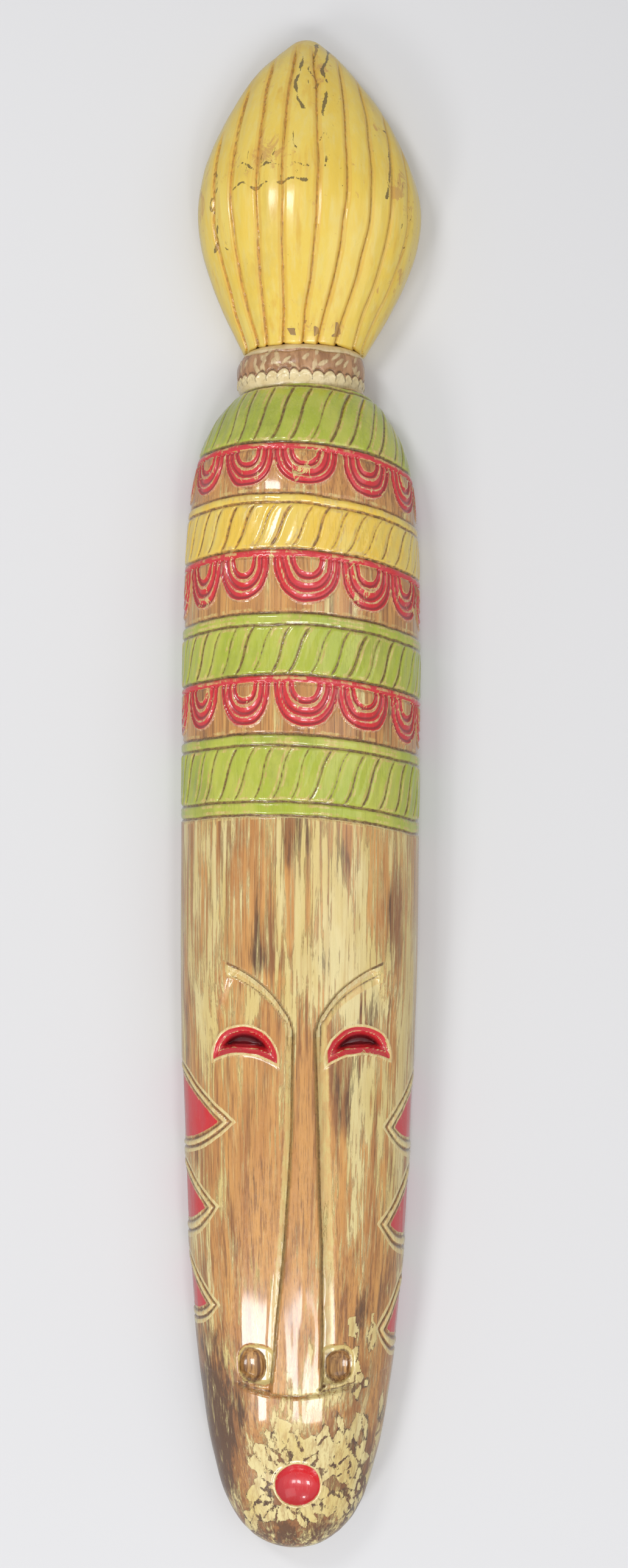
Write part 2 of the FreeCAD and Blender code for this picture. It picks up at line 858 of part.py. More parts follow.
os.makedirs("parts", exist_ok=True)
for node in NODES:
    shape = node.Shape
    if shape.isNull() or not shape.isValid() or not shape.Solids:
        raise RuntimeError(f"{node.Label} has no sound shape")
    shape.exportStep(f"parts/{node.Label}.step")
    reach = shape.BoundBox
    print(
        f"{node.Label}: {len(shape.Solids)} solid(s), {shape.Volume / 1000:.2f} cm3, "
        f"x {reach.XMin:.1f}..{reach.XMax:.1f}, y {reach.YMin:.1f}..{reach.YMax:.1f}, "
        f"z {reach.ZMin:.1f}..{reach.ZMax:.1f}"
    )
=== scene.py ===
"""The looks of a carved and painted wooden wall mask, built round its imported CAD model.

Lengths inside this script are millimetres and heights are counted from the tip of the chin, until
a mesh is made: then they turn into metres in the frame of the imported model.
"""

import math

import bpy
import numpy as np
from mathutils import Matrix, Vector


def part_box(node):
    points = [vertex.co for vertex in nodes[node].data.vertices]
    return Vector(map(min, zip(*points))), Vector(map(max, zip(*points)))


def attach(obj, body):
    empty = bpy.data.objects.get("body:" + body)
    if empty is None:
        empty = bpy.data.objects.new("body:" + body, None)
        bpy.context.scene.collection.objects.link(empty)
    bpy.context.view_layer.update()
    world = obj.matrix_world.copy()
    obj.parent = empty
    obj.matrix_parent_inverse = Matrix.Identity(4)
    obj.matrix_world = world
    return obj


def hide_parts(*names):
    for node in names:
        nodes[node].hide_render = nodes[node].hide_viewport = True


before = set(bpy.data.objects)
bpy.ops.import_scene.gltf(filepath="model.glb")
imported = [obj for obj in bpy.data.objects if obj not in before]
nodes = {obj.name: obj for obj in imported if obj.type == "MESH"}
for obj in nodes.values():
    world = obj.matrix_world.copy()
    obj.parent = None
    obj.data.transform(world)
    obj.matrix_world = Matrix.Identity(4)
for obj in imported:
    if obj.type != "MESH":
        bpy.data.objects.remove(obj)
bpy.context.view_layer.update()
chin_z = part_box("mask_body")[0].z

# ---------------------------------------------------------------- forms

# Oval stations of each form: height, half width, depth from the wall, sideways shift
BODY = (
    (-0.8, 0.3, 10.4, 0),
    (0.2, 9, 18, 0),
    (6, 24.5, 31, 0),
    (16, 36, 39, 0),
    (32, 45.5, 47, 0),
    (62, 54.5, 55, 0),
    (110, 63, 63, 0),
    (170, 69.5, 69, 0),
    (250, 74.5, 74, 0),
    (350, 78, 78, 0),
    (480, 79, 80, 0),
    (600, 78.7, 80, 0),
    (665, 76.8, 78, 0),
    (705, 72.8, 74, 0),
    (730, 65.5, 67, 0),
    (748, 55.5, 57, 0),
    (759, 46, 49, 0),
    (764, 40, 43, -1),
    (765, 36, 38, -1),
)
# depth that the cheeks, lips and chin lie below the brows and nose, by height
LOWERED = (
    (-5, 0),
    (0, 1),
    (16, 3),
    (32, 4.5),
    (62, 6.5),
    (110, 6.5),
    (170, 5.5),
    (250, 5),
    (330, 5.4),
    (400, 4.5),
)
COLLAR = (
    (761.5, 34, 36, -2),
    (762, 39, 42, -2),
    (765, 41.2, 44.2, -2),
    (770, 41.8, 45, -2),
    (777, 42.8, 46.4, -2),
    (784, 41.6, 45, -1.3),
    (789, 38.8, 42, -0.4),
    (792, 33, 36, 0),
)
TOPKNOT = (
    (791, 33, 35, 0.5),
    (790, 38.6, 40.4, 0.5),
    (790.6, 40.4, 42, 0.5),
    (793, 41.8, 43.4, 0.6),
    (800, 45.8, 46.2, 1),
    (810, 51.2, 50, 1.5),
    (835, 63, 58, 2.5),
    (862, 72, 64, 3),
    (884, 74.3, 66, 3),
    (908, 70, 63, 2),
    (932, 60, 57, 1),
    (955, 47, 48, 0),
    (975, 32, 37, -1),
    (990, 16.5, 25, 0),
    (998, 7, 15.5, 0),
    (1000, 0.3, 10.4, 0),
)
BELLY = 10  # distance from the wall at which the ovals are widest
CELL = 0.95  # spacing of the mesh on the carved front
NO_MARK = -9.0  # value of a painted mark where there is none
FAR_OFF = 99.0  # start of a search for the nearest or the furthest
LATTICE = 61  # random numbers each way before random_field repeats


def ease(low, high, value):
    """0 below low, 1 above high, and smooth between them."""
    part = np.clip((value - low) / (high - low), 0, 1)
    return part * part * (3 - 2 * part)


def smooth_curve(knots, places, at):
    """Rows of a table read between its rows by a smooth curve. places: where each row stands."""
    knots = np.asarray(knots, float)
    slope = np.gradient(knots, places, axis=0)
    row = np.clip(np.searchsorted(places, at, side="right") - 1, 0, len(places) - 2)
    gap = (places[row + 1] - places[row])[:, None]
    u = (at - places[row])[:, None] / gap
    return (
        (2 * u**3 - 3 * u**2 + 1) * knots[row]
        + (u**3 - 2 * u**2 + u) * gap * slope[row]
        + (3 * u**2 - 2 * u**3) * knots[row + 1]
        + (u**3 - u**2) * gap * slope[row + 1]
    )


def rows_along(stations, step):
    """Stations about step mm apart along the side of a form."""
    knots = np.array(stations, float)
    run = np.r_[0, np.cumsum(np.hypot(np.diff(knots[:, 0]), np.diff(knots[:, 1])))]
    return smooth_curve(knots, run, np.linspace(0, run[-1], int(run[-1] / step) + 1))


def random_field(u, v, seed):
    """Smooth random numbers from -1 to 1 that change over about one unit."""
    lattice = np.random.default_rng(seed).uniform(-1, 1, (LATTICE, LATTICE))
    iu, iv = np.floor(u).astype(int), np.floor(v).astype(int)
    fu, fv = ease(0, 1, u - iu), ease(0, 1, v - iv)
    low = lattice[iu % LATTICE, iv % LATTICE] * (1 - fu) + lattice[
        (iu + 1) % LATTICE, iv % LATTICE
    ] * fu
    high = lattice[iu % LATTICE, (iv + 1) % LATTICE] * (1 - fu) + lattice[
        (iu + 1) % LATTICE, (iv + 1) % LATTICE
    ] * fu
    return low * (1 - fv) + high * fv


def grid_normals(place):
    """Unit normals of a grid of points."""
    normal = np.cross(np.gradient(place, axis=1), np.gradient(place, axis=0))
    return normal / np.maximum(np.linalg.norm(normal, axis=2, keepdims=True), 1e-9)


def new_object(name, data):
    """An object in the scene that shows the given mesh, lamp or camera."""
    obj = bpy.data.objects.new(name, data)
    bpy.context.scene.collection.objects.link(obj)
    return obj


class Skin:
    """A grid on the front of an oval form, with what is carved and painted on it."""

    def __init__(self, stations, step, columns):
        rows = rows_along(stations, step)
        height, half, deep, shift = (rows[:, n][:, None] for n in range(4))
        bulge = np.maximum(deep - BELLY, 0.2)
        turn = math.pi / 2 + np.arcsin(np.clip(BELLY / bulge, 0, 1))
        self.angle = np.linspace(-1, 1, columns)[None, :] * turn
        self.height = np.repeat(height, columns, axis=1)
        self.half, self.shift = half, shift
        across = half * np.sin(self.angle)
        self.place = np.stack(
            (shift + across, -BELLY - bulge * np.cos(self.angle), self.height), axis=2
        )
        self.x = self.place[:, :, 0].copy()
        pace = np.hypot(half * np.cos(self.angle), bulge * np.sin(self.angle))
        length = np.cumsum(pace, axis=1) * (self.angle[:, 1:2] - self.angle[:, :1])
        self.arc = length - length[:, columns // 2][:, None]
        beyond = np.abs(self.angle) > math.pi / 2
        rim = half * math.pi / 2
        # sideways distance that keeps growing where the skin turns back to the wall
        self.wide = np.where(
            beyond, np.sign(self.angle) * (half + np.abs(self.angle) * half - rim), across
        )
        self.normal = grid_normals(self.place)
        self.cut = np.zeros_like(self.height)
        self.sink = np.zeros_like(self.height)
        self.marks = {}

    def mark(self, name, value):
        """Adds to a painted mark: a distance in mm, above 0 inside the mark."""
        old = self.marks.get(name, np.full_like(self.height, NO_MARK))
        self.marks[name] = np.maximum(old, value)

    def carve(self):
        """Moves the skin in by what is cut square to it and what is sunk towards the wall."""
        self.place = self.place - self.normal * self.cut[:, :, None]
        self.place[:, :, 1] += self.sink
        self.normal = grid_normals(self.place)

    def piece(self, name, first, last, marks):
        """A mesh of the rows from first to last."""
        part = slice(first, last + 1)
        place, normal = self.place[part], self.normal[part]
        rows, columns = place.shape[:2]
        obj = grid_mesh(name, place, normal, rows, columns)
        for mark in marks:
            values = self.marks.get(mark, np.full_like(self.height, NO_MARK))[part]
            layer = obj.data.attributes.new(mark, "FLOAT", "POINT")
            layer.data.foreach_set("value", values.astype(np.float32).ravel())
        return obj


def grid_mesh(name, place, normal, rows, columns):
    """A smooth-shaded mesh object from a grid of points in mm."""
    metres = place.reshape(-1, 3) / 1000 + np.array((0, 0, chin_z))
    index = np.arange(rows * columns).reshape(rows, columns)
    quads = np.stack((index[:-1, :-1], index[:-1, 1:], index[1:, 1:], index[1:, :-1]), axis=2)
    mesh = bpy.data.meshes.new(name)
    mesh.from_pydata(metres.tolist(), [], quads.reshape(-1, 4).tolist())
    mesh.polygons.foreach_set("use_smooth", np.ones(len(mesh.polygons), bool))
    mesh.normals_split_custom_set_from_vertices(normal.reshape(-1, 3).tolist())
    return new_object(name, mesh)


def valley(distance, half):
    """Section of a knife-cut line: 1 in its middle and 0 at half and beyond."""
    return np.clip(1 - np.abs(distance) / half, 0, 1) ** 1.2


# ---------------------------------------------------------------- the face and its headdress

front = Skin(BODY, CELL, 241)
H, X, S, WIDE = front.height, front.x, front.arc, front.wide
front.cut += 0.28 * random_field(S / 13, H / 55, 1) + 0.15 * random_field(S / 4.5, H / 38, 2)
front.cut *= ease(0, 12, H)

# Height above the chin along a band's run: the bands bow upwards and fall to the right
BOW, HALF_WIDTH = 8.5, 79  # rise of a band at the middle, and half the width of the body
TILT = np.interp(H, (470, 520, 600, 645, 680, 712, 757), (3.0, 2.5, 2.3, 3.1, 3.7, 4.0, 3.0))
LEVEL = H - BOW * (1 - (WIDE / HALF_WIDTH) ** 2).clip(-0.4, 1) + WIDE * np.tan(np.radians(TILT))
WAVER = 0.5 * random_field(S / 22, H / 30, 3) + 0.25 * random_field(S / 7, H / 30, 4)

# Bottom, lower line, upper line and top of each striped band, and its paint
RIM_LEVEL = 757.2  # from here up the wood turns in to the collar
BANDS = (
    (712.5, 712.5, 753.6, RIM_LEVEL, "green"),
    (643.5, 643.5, 672.6, 678.5, "yellow"),
    (564.5, 564.5, 596, 603.5, "green"),
    (476.5, 485.1, 520.4, 527.5, "green"),
)
STROKE_GAP = 12.2
STROKE_LEAN = 7.5
on_band = np.full_like(H, -FAR_OFF)
for n, (bottom, lower, upper, top, paint) in enumerate(BANDS):
    inside = np.minimum(LEVEL - bottom, top - LEVEL)
    on_band = np.maximum(on_band, inside)
    front.mark(paint, inside)
    for level in sorted({bottom, lower, upper, top}):
        away = LEVEL - level + WAVER
        front.cut += 1.5 * valley(away, 1.7)
        front.mark("line", 1.0 - np.abs(away))
        front.mark("edge", 1.2 - np.abs(np.abs(away) - 2.2))
    middle, reach = (lower + upper) / 2, (upper - lower) / 2
    q = ((LEVEL - middle) / reach).clip(-1.3, 1.3)
    bend = STROKE_LEAN * (0.55 * q + 0.45 * q**3)
    count = np.round((S - bend) / STROKE_GAP).astype(int)
    draw = np.random.default_rng(20 + n).uniform(-1, 1, (3, 64))
    stray = 1.4 * draw[0, count + 32] + 0.9 * q * draw[1, count + 32]
    slope = STROKE_LEAN * (0.55 + 1.35 * q**2) / reach
    away = (S - bend - stray - count * STROKE_GAP + 0.3 * WAVER) / np.sqrt(1 + slope**2)
    kept = ease(0.4, 3, LEVEL - lower) * ease(0.4, 3, upper - LEVEL)
    keen = kept * (0.8 + 0.3 * draw[2, count + 32])
    front.cut += 1.45 * valley(away, 1.9) * keen
    front.cut += 0.35 * (np.abs(away) / 6) ** 2 * kept - 0.25 * kept
    front.mark("line", np.where(kept > 0.05, 0.95 * keen - np.abs(away), NO_MARK))
    front.mark("edge", np.where(kept > 0.05, 1.0 - np.abs(np.abs(away) - 2.0), NO_MARK))

# Scallops that hang from the lower edge of three bands: top level and drop
STRIPE = 4.5  # height of the red stripe that the scallops hang from
SCALLOP_ROWS = ((712.5, 28.5), (643.5, 32.5), (564.5, 31))
SCALLOP_MIDDLES = (-107, -72, -37, 3, 43.5, 79, 113)
SCALLOP_HALVES = (16.5, 16.5, 17.6, 21.3, 18.3, 16.5, 16.5)
RED_RINGS = ((0.905, 0.088), (0.68, 0.105), (0.43, 0.08))
RIDGES = ((1.01, 0.022), (0.80, 0.02), (0.542, 0.022))
in_scallop = np.zeros_like(H)
for n, (top, drop) in enumerate(SCALLOP_ROWS):
    below = top - LEVEL
    stripe = np.minimum(below - 0.4, 4.6 - below + 0.5 * WAVER)
    front.mark("red", stripe)
    front.cut += 1.1 * valley(below - 5 + WAVER * 0.5, 1.2) * (below < drop)
    jitter = np.random.default_rng(40 + n).uniform(-1, 1, (2, len(SCALLOP_MIDDLES)))
    for k, middle in enumerate(SCALLOP_MIDDLES):
        half = SCALLOP_HALVES[k] * (1 + 0.05 * jitter[1, k])
        across = (S - middle - 1.2 * jitter[0, k]) / half
        down = (below - STRIPE) / (
            (drop - STRIPE) * (0.93 + 0.004 * half) * (1 + 0.04 * jitter[0, k])
        )
        radius = (np.abs(across) ** 2.3 + np.abs(down).clip(0, 2) ** 2.3) ** (1 / 2.3)
        radius = radius + 0.025 * random_field(S / 9, H / 9, 50 + n)
        hangs = (down > 0) & (radius < 1.2)
        in_scallop = np.maximum(in_scallop, np.where(hangs, 1 - ease(0.99, 1.05, radius), 0))
        for ring, reach in RED_RINGS:
            near = np.where(hangs, 1 - ((radius - ring) / reach) ** 2, 0).clip(0, 1)
            front.cut += 1.2 * near
            front.mark("red", np.where(hangs, (reach - np.abs(radius - ring)) * half, NO_MARK))
            front.mark(
                "crease", np.where(hangs, 0.6 - np.abs(radius - ring - 0.03) * half, NO_MARK)
            )
        for ring, reach in RIDGES:
            front.mark("ridge", np.where(hangs, (reach - np.abs(radius - ring)) * half, NO_MARK))
in_stripes = ease(-0.6, 0.4, np.maximum(on_band, front.marks["red"]))
headdress = ease(476.2, 477.4, LEVEL)
front.cut += 1.15 * headdress * (1 - np.maximum(in_stripes, in_scallop)) * ease(0, 3, 755 - LEVEL)
front.mark("cream_line", 0.8 - np.abs(LEVEL - 475.9 + 0.5 * WAVER))
front.mark("rim", LEVEL - RIM_LEVEL + WAVER)

# ---- brows and nose stay high: what lies outside them is lowered
NOSE_BASE = 117
# the nose stands a little right of the middle: its axis, by height
AXIS = np.interp(H, (100, 117, 168, 207, 284, 361, 392), (0.8, 1.0, 2.6, 4.2, 4.9, 3.9, 4.2))
nose_knots = np.array(
    ((100, 16), (119, 15.4), (146, 13.9), (202, 11.3), (255, 8.6), (310, 7.1), (348, 6))
)
nose_half = np.interp(H, nose_knots[:, 0], nose_knots[:, 1])
side = np.abs(X - AXIS)
beside_nose = side - nose_half
# lower edge of a brow from the nose to its tip: distance from the axis and height
brow_knots = np.array(
    (
        (4.5, 335),
        (6, 348),
        (7.9, 355.4),
        (12.9, 364.6),
        (19.4, 373),
        (27.1, 380),
        (37.4, 386.8),
        (48, 391.5),
        (70, 396),
    ),
    float,
)
reaches = np.linspace(4.5, 70, 200)
brow_line = smooth_curve(brow_knots, brow_knots[:, 0].copy(), reaches)[:, 1]
brow_slope = np.gradient(brow_line, reaches)
under_brow = np.interp(side, reaches, brow_line) - H
under_brow = under_brow / np.sqrt(1 + np.interp(side, reaches, brow_slope) ** 2)
# distance outwards from the foot of nose and brows
foot = np.minimum(beside_nose, under_brow)
foot += 0.35 * random_field(X / 12, H / 20, 5)
soft = 1.8 + 62 * ease(40, 62, side)
low_mask = ease(0, 1, foot / soft)
# the nose ends above the lip, which steps forward again below a curved line
LIP_LINE = 116.5 + 3.3 * (X / 35) ** 2
below_nose = LIP_LINE - H
low_mask = np.where(H < NOSE_BASE + 6, np.maximum(low_mask, ease(-0.4, 1.4, below_nose)), low_mask)
tip_fade = 1 - ease(44, 56, side)
lip = ease(0.6, 3.0, below_nose) * (1 - ease(18, 60, below_nose)) * (1 - ease(30, 44, side))
lowered = np.array(LOWERED, float)
drop = smooth_curve(lowered[:, 1:], lowered[:, 0], front.height[:, 0].clip(-5, 400))
face = 1 - ease(392, 400, H)
front.sink += drop * np.cos(front.angle).clip(0, 1) ** 0.8 * face * low_mask * (1 - 0.5 * lip)
# knife lines and bevels along the foot of brows and nose
along_nose = (H < 393) & (H > LIP_LINE)
right = X > 0
strip = np.where(right, 8.6, 5.4) * ease(118, 150, H) + np.where(right, 5, 3) * ease(356, 388, H)
bevel = np.clip(1 - (foot - 1) / np.maximum(strip, 0.5), 0, 1) * (foot > 0.2) * tip_fade
front.sink += np.where(along_nose, 1.3 * bevel, 0)
front.sink += np.where(along_nose & (H > 122), 1.1 * valley(foot - 1.0, 1.2), 0) * tip_fade
second_line = foot - 4.4 - 3 * ease(356, 388, H)
front.sink += np.where(along_nose & (H > 330), 0.8 * valley(second_line, 0.9), 0) * tip_fade
front.mark(
    "line", np.where(along_nose & (H > 122) & (side < 50), 0.95 - np.abs(foot - 0.9), NO_MARK)
)
front.mark(
    "line", np.where(along_nose & (H > 340) & (side < 46), 0.55 - np.abs(second_line), NO_MARK)
)
brow_edge = along_nose & (H > 345) & (side < 49)
front.mark("cream_line", np.where(brow_edge, 1.3 - np.abs(foot - 2.9), NO_MARK))
front.mark(
    "strip", np.where(along_nose & (side < 50), np.minimum(foot - 1.2, strip - foot), NO_MARK)
)
front.cut += 1.0 * valley(below_nose - 0.2, 1.2) * (side < 38)
front.mark("line", np.where(side < 37, 0.55 - np.abs(below_nose - 0.1), NO_MARK))

# ---- eyes: a crescent rim, a ledge and a blind pocket, with painted shade deep in the pocket
EYE_MIDDLES = (-33.4, 38.6)
EYE_HALF, EYE_BASE, EYE_RISE, EYE_SAG = 20.6, 328.3, 23.2, 6.4
upper_r, lower_r = ((EYE_HALF**2 + rise**2) / (2 * rise) for rise in (EYE_RISE, EYE_SAG))
jag = 0.35 * random_field(X / 5, H / 5, 6)
for middle in EYE_MIDDLES:
    off = X - middle
    in_upper = upper_r - np.hypot(off, H - (EYE_BASE + EYE_RISE - upper_r))
    in_lower = np.hypot(off, H - (EYE_BASE + EYE_SAG - lower_r)) - lower_r
    eye = np.minimum(in_upper, in_lower) + jag
    front.sink += -0.6 * valley(eye + 1.0, 1.6)
    front.sink += 2.0 * ease(0, 2.2, eye) + 0.8 * ease(2.9, 3.5, eye)
    pocket = ease(3.2, 8.6, in_upper) * ease(3.4, 4.8, in_lower)
    front.sink += 9.0 * pocket
    front.mark("red", eye)
    front.mark("cream_line", 0.75 - np.abs(eye + 0.75))
    front.mark("cream_line", np.where(eye > 0, 0.32 - np.abs(eye - 3.0), NO_MARK))
    # the deep mark places painted shade: the material darkens the red to maroon where the pocket is
    # deepest
    front.mark("deep", 4 * (pocket - 0.55))
    front.mark("crease", 0.35 - np.abs(eye - 3.4))

# ---- nostrils: a cream recess and a brown hollow in it
NOSTRILS = ((-24.5, 133.5, 12.6, 13.6, -27.2, 132.8), (26.2, 134, 11.8, 13.4, 27.6, 132.2))
for x, h, wide, tall, inner_x, inner_h in NOSTRILS:
    ring = (np.abs((X - x) / wide) ** 2.7 + np.abs((H - h) / tall) ** 2.7) ** (1 / 2.7)
    recess = (1 - ease(0.84, 1.02, ring)) * ease(0.4, 2, beside_nose) * ease(0, 1.6, -below_nose)
    front.sink += 2.6 * recess
    front.mark("patch", np.where(recess > 0.1, (1.12 - ring) * wide, NO_MARK))
    inner = (np.abs((X - inner_x) / 8.2) ** 2.5 + np.abs((H - inner_h) / 10.6) ** 2.5) ** (1 / 2.5)
    inner += 0.05 * random_field(X / 6, H / 6, 19)
    front.sink += 4.8 * np.sqrt(np.clip(1 - inner**2, 0, 1)) * ease(0, 0.25, 1 - inner)
    front.mark("hollow", (1 - inner) * 7)
    front.mark("line", 0.5 - np.abs(1 - inner) * 7 + 0.3 * random_field(X / 3, H / 3, 8))
notch = np.hypot((X - 17.2) / 2.6, (H - 120.5) / 1.6)
front.sink += 2 * (1 - ease(0.3, 1.1, notch))
front.mark("line", (1 - notch) * 2)

# ---- mouth: a round red bowl
mouth = np.hypot(X - 2, H - 53.3) + 0.35 * random_field(X / 8, H / 8, 9)
MOUTH_R = 14.6
front.sink += 8.5 * np.clip(1 - (mouth / MOUTH_R) ** 2, 0, 1) ** 0.8
front.cut += -0.5 * valley(mouth - MOUTH_R - 1.0, 1.8)
front.mark("red", MOUTH_R - mouth)
front.mark("cream_line", 0.7 - np.abs(mouth - MOUTH_R - 0.7))

# ---- triangles along the sides: distance from the middle and height of the tip, and the
# heights at which the upper and the lower leg leave round the side
TRIANGLES = (
    (-40, 290, 322.6, 262),
    (-50.3, 234, 259.3, 205),
    (-49.4, 169.4, 196, 148.4),
    (55, 286, 317, 259),
    (52.9, 222.7, 255, 195),
    (51.9, 153.7, 182.6, 126.6),
)
for tip_x, tip_h, high, low in TRIANGLES:
    hand = math.copysign(1, tip_x)
    edge = np.interp(tip_h, [row[0] for row in BODY], [row[1] for row in BODY])
    reach = edge - abs(tip_x)
    out = hand * WIDE - abs(tip_x)
    legs = []
    for end in (high, low):
        rise = abs(end - tip_h)
        tilt = math.hypot(reach, rise)
        sag = 2.4 * np.sin(math.pi * (out / reach).clip(0, 1))
        lift = (H - tip_h) * math.copysign(1, end - tip_h)
        legs.append((rise * out - reach * lift) / tilt + (sag if end == low else -0.5 * sag))
    inside = np.minimum(*legs) + 0.4 * random_field(WIDE / 9, H / 9, 10)
    inside = np.where(hand * WIDE > abs(tip_x) - 4, inside, NO_MARK)
    front.cut += 1.3 * valley(inside - 2.2, 1.4) + 1.1 * valley(inside - 6.0, 1.3)
    front.cut += 0.9 * ease(6.0, 8.0, inside) * ease(-0.5, 1, inside)
    front.mark("cream_line", np.maximum(1.0 - np.abs(inside - 0.2), 1.1 - np.abs(inside - 4.1)))
    front.mark("line", np.maximum(0.7 - np.abs(inside - 2.2), 0.6 - np.abs(inside - 6.1)))
    front.mark("red", inside - 7.6)


def blots(x, h, table):
    """Sum of soft round weights. A row: weight, x and height of its middle, its reach both ways."""
    total = np.zeros_like(x)
    for weight, middle_x, middle_h, wide, tall in table:
        total += weight * np.exp(-(((x - middle_x) / wide) ** 2) - ((h - middle_h) / tall) ** 2)
    return total


# Where more of the cream paint is left than elsewhere, and where the colour is made darker, the
# lower chin among them
CREAM_BLOTS = (
    (0.22, -4, 390, 12, 34),
    (0.22, 33, 372, 18, 18),
    (0.12, -35, 366, 22, 14),
    (0.14, -62, 330, 12, 40),
    (0.24, 68, 360, 8, 110),
    (0.10, -66, 440, 12, 60),
    (0.16, 42, 300, 12, 40),
    (0.16, -66, 235, 6, 50),
    (0.16, 12, 440, 14, 34),
    (0.05, 0, 425, 60, 50),
    (-0.16, -30, 250, 18, 60),
    (-0.12, 0, 290, 7, 40),
    (0.25, 25, 118, 18, 10),
    (-0.1, 38, 170, 18, 40),
    (0.10, 30, 430, 9, 40),
)
DARK_BLOTS = (
    (0.20, -12, 468, 34, 24),
    (0.26, 30, 455, 10, 24),
    (0.32, 44, 362, 13, 16),
    (0.24, 34, 310, 16, 30),
    (0.26, 42, 165, 18, 30),
    (0.5, -52, 92, 18, 60),
    (0.15, 0, 395, 60, 10),
    (0.2, 10, 12, 50, 16),
    (0.2, 35, 60, 18, 40),
    (0.12, -40, 240, 12, 50),
    (0.25, -24, 410, 8, 30),
    (0.16, 20, 400, 7, 30),
    (0.2, 60, 420, 6, 40),
    (0.22, 4, 40, 50, 44),
)
cream = 0.05 * random_field(S / 16, H / 70, 11) - 0.02 + blots(X, H, CREAM_BLOTS)
cream -= 0.10 * headdress * (1 - ease(0.0, 0.3, on_band))
CREAM_LIMIT = 0.20
cream = CREAM_LIMIT * np.tanh(cream / CREAM_LIMIT) - blots(X, H, ((0.12, -50, 92, 16, 60),))
dark = 0.10 * random_field(S / 18, H / 60, 12) + blots(X, H, DARK_BLOTS)
front.marks.update(cream=cream, dark=dark)

# ---- flakes of cream paint left round the mouth: long ones that point away from it, and
# upright ones further out
MOUTH = np.array((2, 53.3))
FLAKES_END = 165  # height up to which the chin is flaked
NO_FLAKE = 9  # gap so wide that nothing of a flake is left
grid = np.stack(
    np.meshgrid(np.arange(-106.6, 108, 8.2), np.arange(-2, FLAKES_END, 9.4)), axis=2
).reshape(-1, 2)
flake_draw = np.random.default_rng(60).uniform(-1, 1, (len(grid), 6))
seeds = grid + flake_draw[:, :2] * (3.8, 4.4)
spoke = seeds - MOUTH
spoke_length = np.linalg.norm(spoke, axis=1)
radial = 1 - ease(28, 46, spoke_length)
upright = np.stack((0.25 * flake_draw[:, 2], np.copysign(1, spoke[:, 1])), axis=1)
aim = spoke / np.maximum(
    spoke_length, 1
)[:, None] * radial[:, None] + upright * (1 - radial)[:, None]
aim /= np.linalg.norm(aim, axis=1, keepdims=True)


CHIN_BLOTS = (
    (0.62, 42, 62, 15, 48),
    (0.9, 42, 128, 13, 22),
    (0.8, -34, 22, 16, 14),
    (0.5, -36, 112, 9, 12),
    (0.55, 72, 60, 22, 55),
    (-0.9, -46, 82, 16, 40),
    (-0.8, 6, 103, 26, 14),
    (-0.45, 8, 14, 30, 18),
    (-0.5, 30, 48, 8, 18),
)


def chance(x, h):
    """How much of the cream paint is left at a place of the chin, from 0 to 1."""
    left = 0.86 * (1 - ease(26, 50, np.hypot(x - 4, 0.9 * (h - 60))))
    return left + blots(x, h, CHIN_BLOTS)


hold = chance(seeds[:, 0], seeds[:, 1]) - 0.5 - 0.42 * flake_draw[:, 3]
gap = np.where(hold > 0, 0.3 + 0.5 * flake_draw[:, 4], NO_FLAKE)
stretch = 2.0 + 0.6 * flake_draw[:, 5]
chin_rows = H[:, 0] < FLAKES_END
place_x = S[chin_rows] + 1.9 * random_field(S / 5, H / 7, 61)[chin_rows]
place_h = H[chin_rows] + 2.4 * random_field(S / 5, H / 7, 62)[chin_rows]
nearest, second = np.full((2, *place_x.shape), FAR_OFF)
nearest_gap = np.full_like(place_x, NO_FLAKE)
for n, (seed_x, seed_h) in enumerate(seeds):
    off_x, off_h = place_x - seed_x, place_h - seed_h
    along = off_x * aim[n, 0] + off_h * aim[n, 1]
    across = off_h * aim[n, 0] - off_x * aim[n, 1]
    away = np.hypot(along / stretch[n], across)
    closer = away < nearest
    second = np.where(closer, nearest, np.minimum(second, away))
    nearest_gap = np.where(closer, gap[n], nearest_gap)
    nearest = np.where(closer, away, nearest)
flake = np.full_like(H, NO_MARK)
flake[chin_rows] = (second - nearest) / 2 - nearest_gap
beside_features = np.minimum(mouth - MOUTH_R - 0.6, np.where(H > LIP_LINE, beside_nose - 1, 9))
front.mark("flake", np.minimum(flake, beside_features))
front.marks["flaking"] = chance(S, H).clip(0, 1) * (1 - ease(140, FLAKES_END, H))
front.carve()
FRONT_MARKS = (
    "green", "yellow", "red", "line", "edge", "crease", "cream_line", "ridge", "strip", "rim",
    "deep", "patch", "hollow", "cream", "dark", "flake", "flaking",
)
row_height = front.height[:, 0]
FACE_SPLITS = (236, 472)  # heights at which the front is parted into three meshes
split_low, split_high = (int(n) for n in np.searchsorted(row_height, FACE_SPLITS))
muzzle = front.piece("face_muzzle", 0, split_low, FRONT_MARKS)
brow = front.piece("face_brow", split_low, split_high, FRONT_MARKS)
bands = front.piece("headdress", split_high, len(row_height) - 1, FRONT_MARKS)

# ---------------------------------------------------------------- the hollowed back

SIDE_WALL, FRONT_WALL = 15, 28
HOLLOW_LOW, HOLLOW_HIGH = 48, 652
RECESS_HIGH, RECESS_HALF, RECESS_DEPTH = 738, 20, 11
ROUND_LOW, ROUND_HIGH = 14, 12  # how far the hollow's ends are rounded
BACK_COLUMNS, BOWL_SHARE = 161, 0.82  # the bowl takes this share of the columns, the rim the rest
back_rows = np.unique(
    np.r_[
        rows_along(BODY, 2.5)[:, 0].clip(-0.8, 764),
        np.linspace(HOLLOW_LOW - 1, HOLLOW_LOW + ROUND_LOW, 16),
        np.linspace(HOLLOW_HIGH - ROUND_HIGH, HOLLOW_HIGH + 2, 16),
        np.linspace(RECESS_HIGH - 2, RECESS_HIGH + 1, 7),
    ]
)
profile = rows_along(BODY, 1.0)
order = np.argsort(profile[:, 0])
half, deep = (np.interp(back_rows, profile[order, 0], profile[order, n])[:, None] for n in (1, 2))
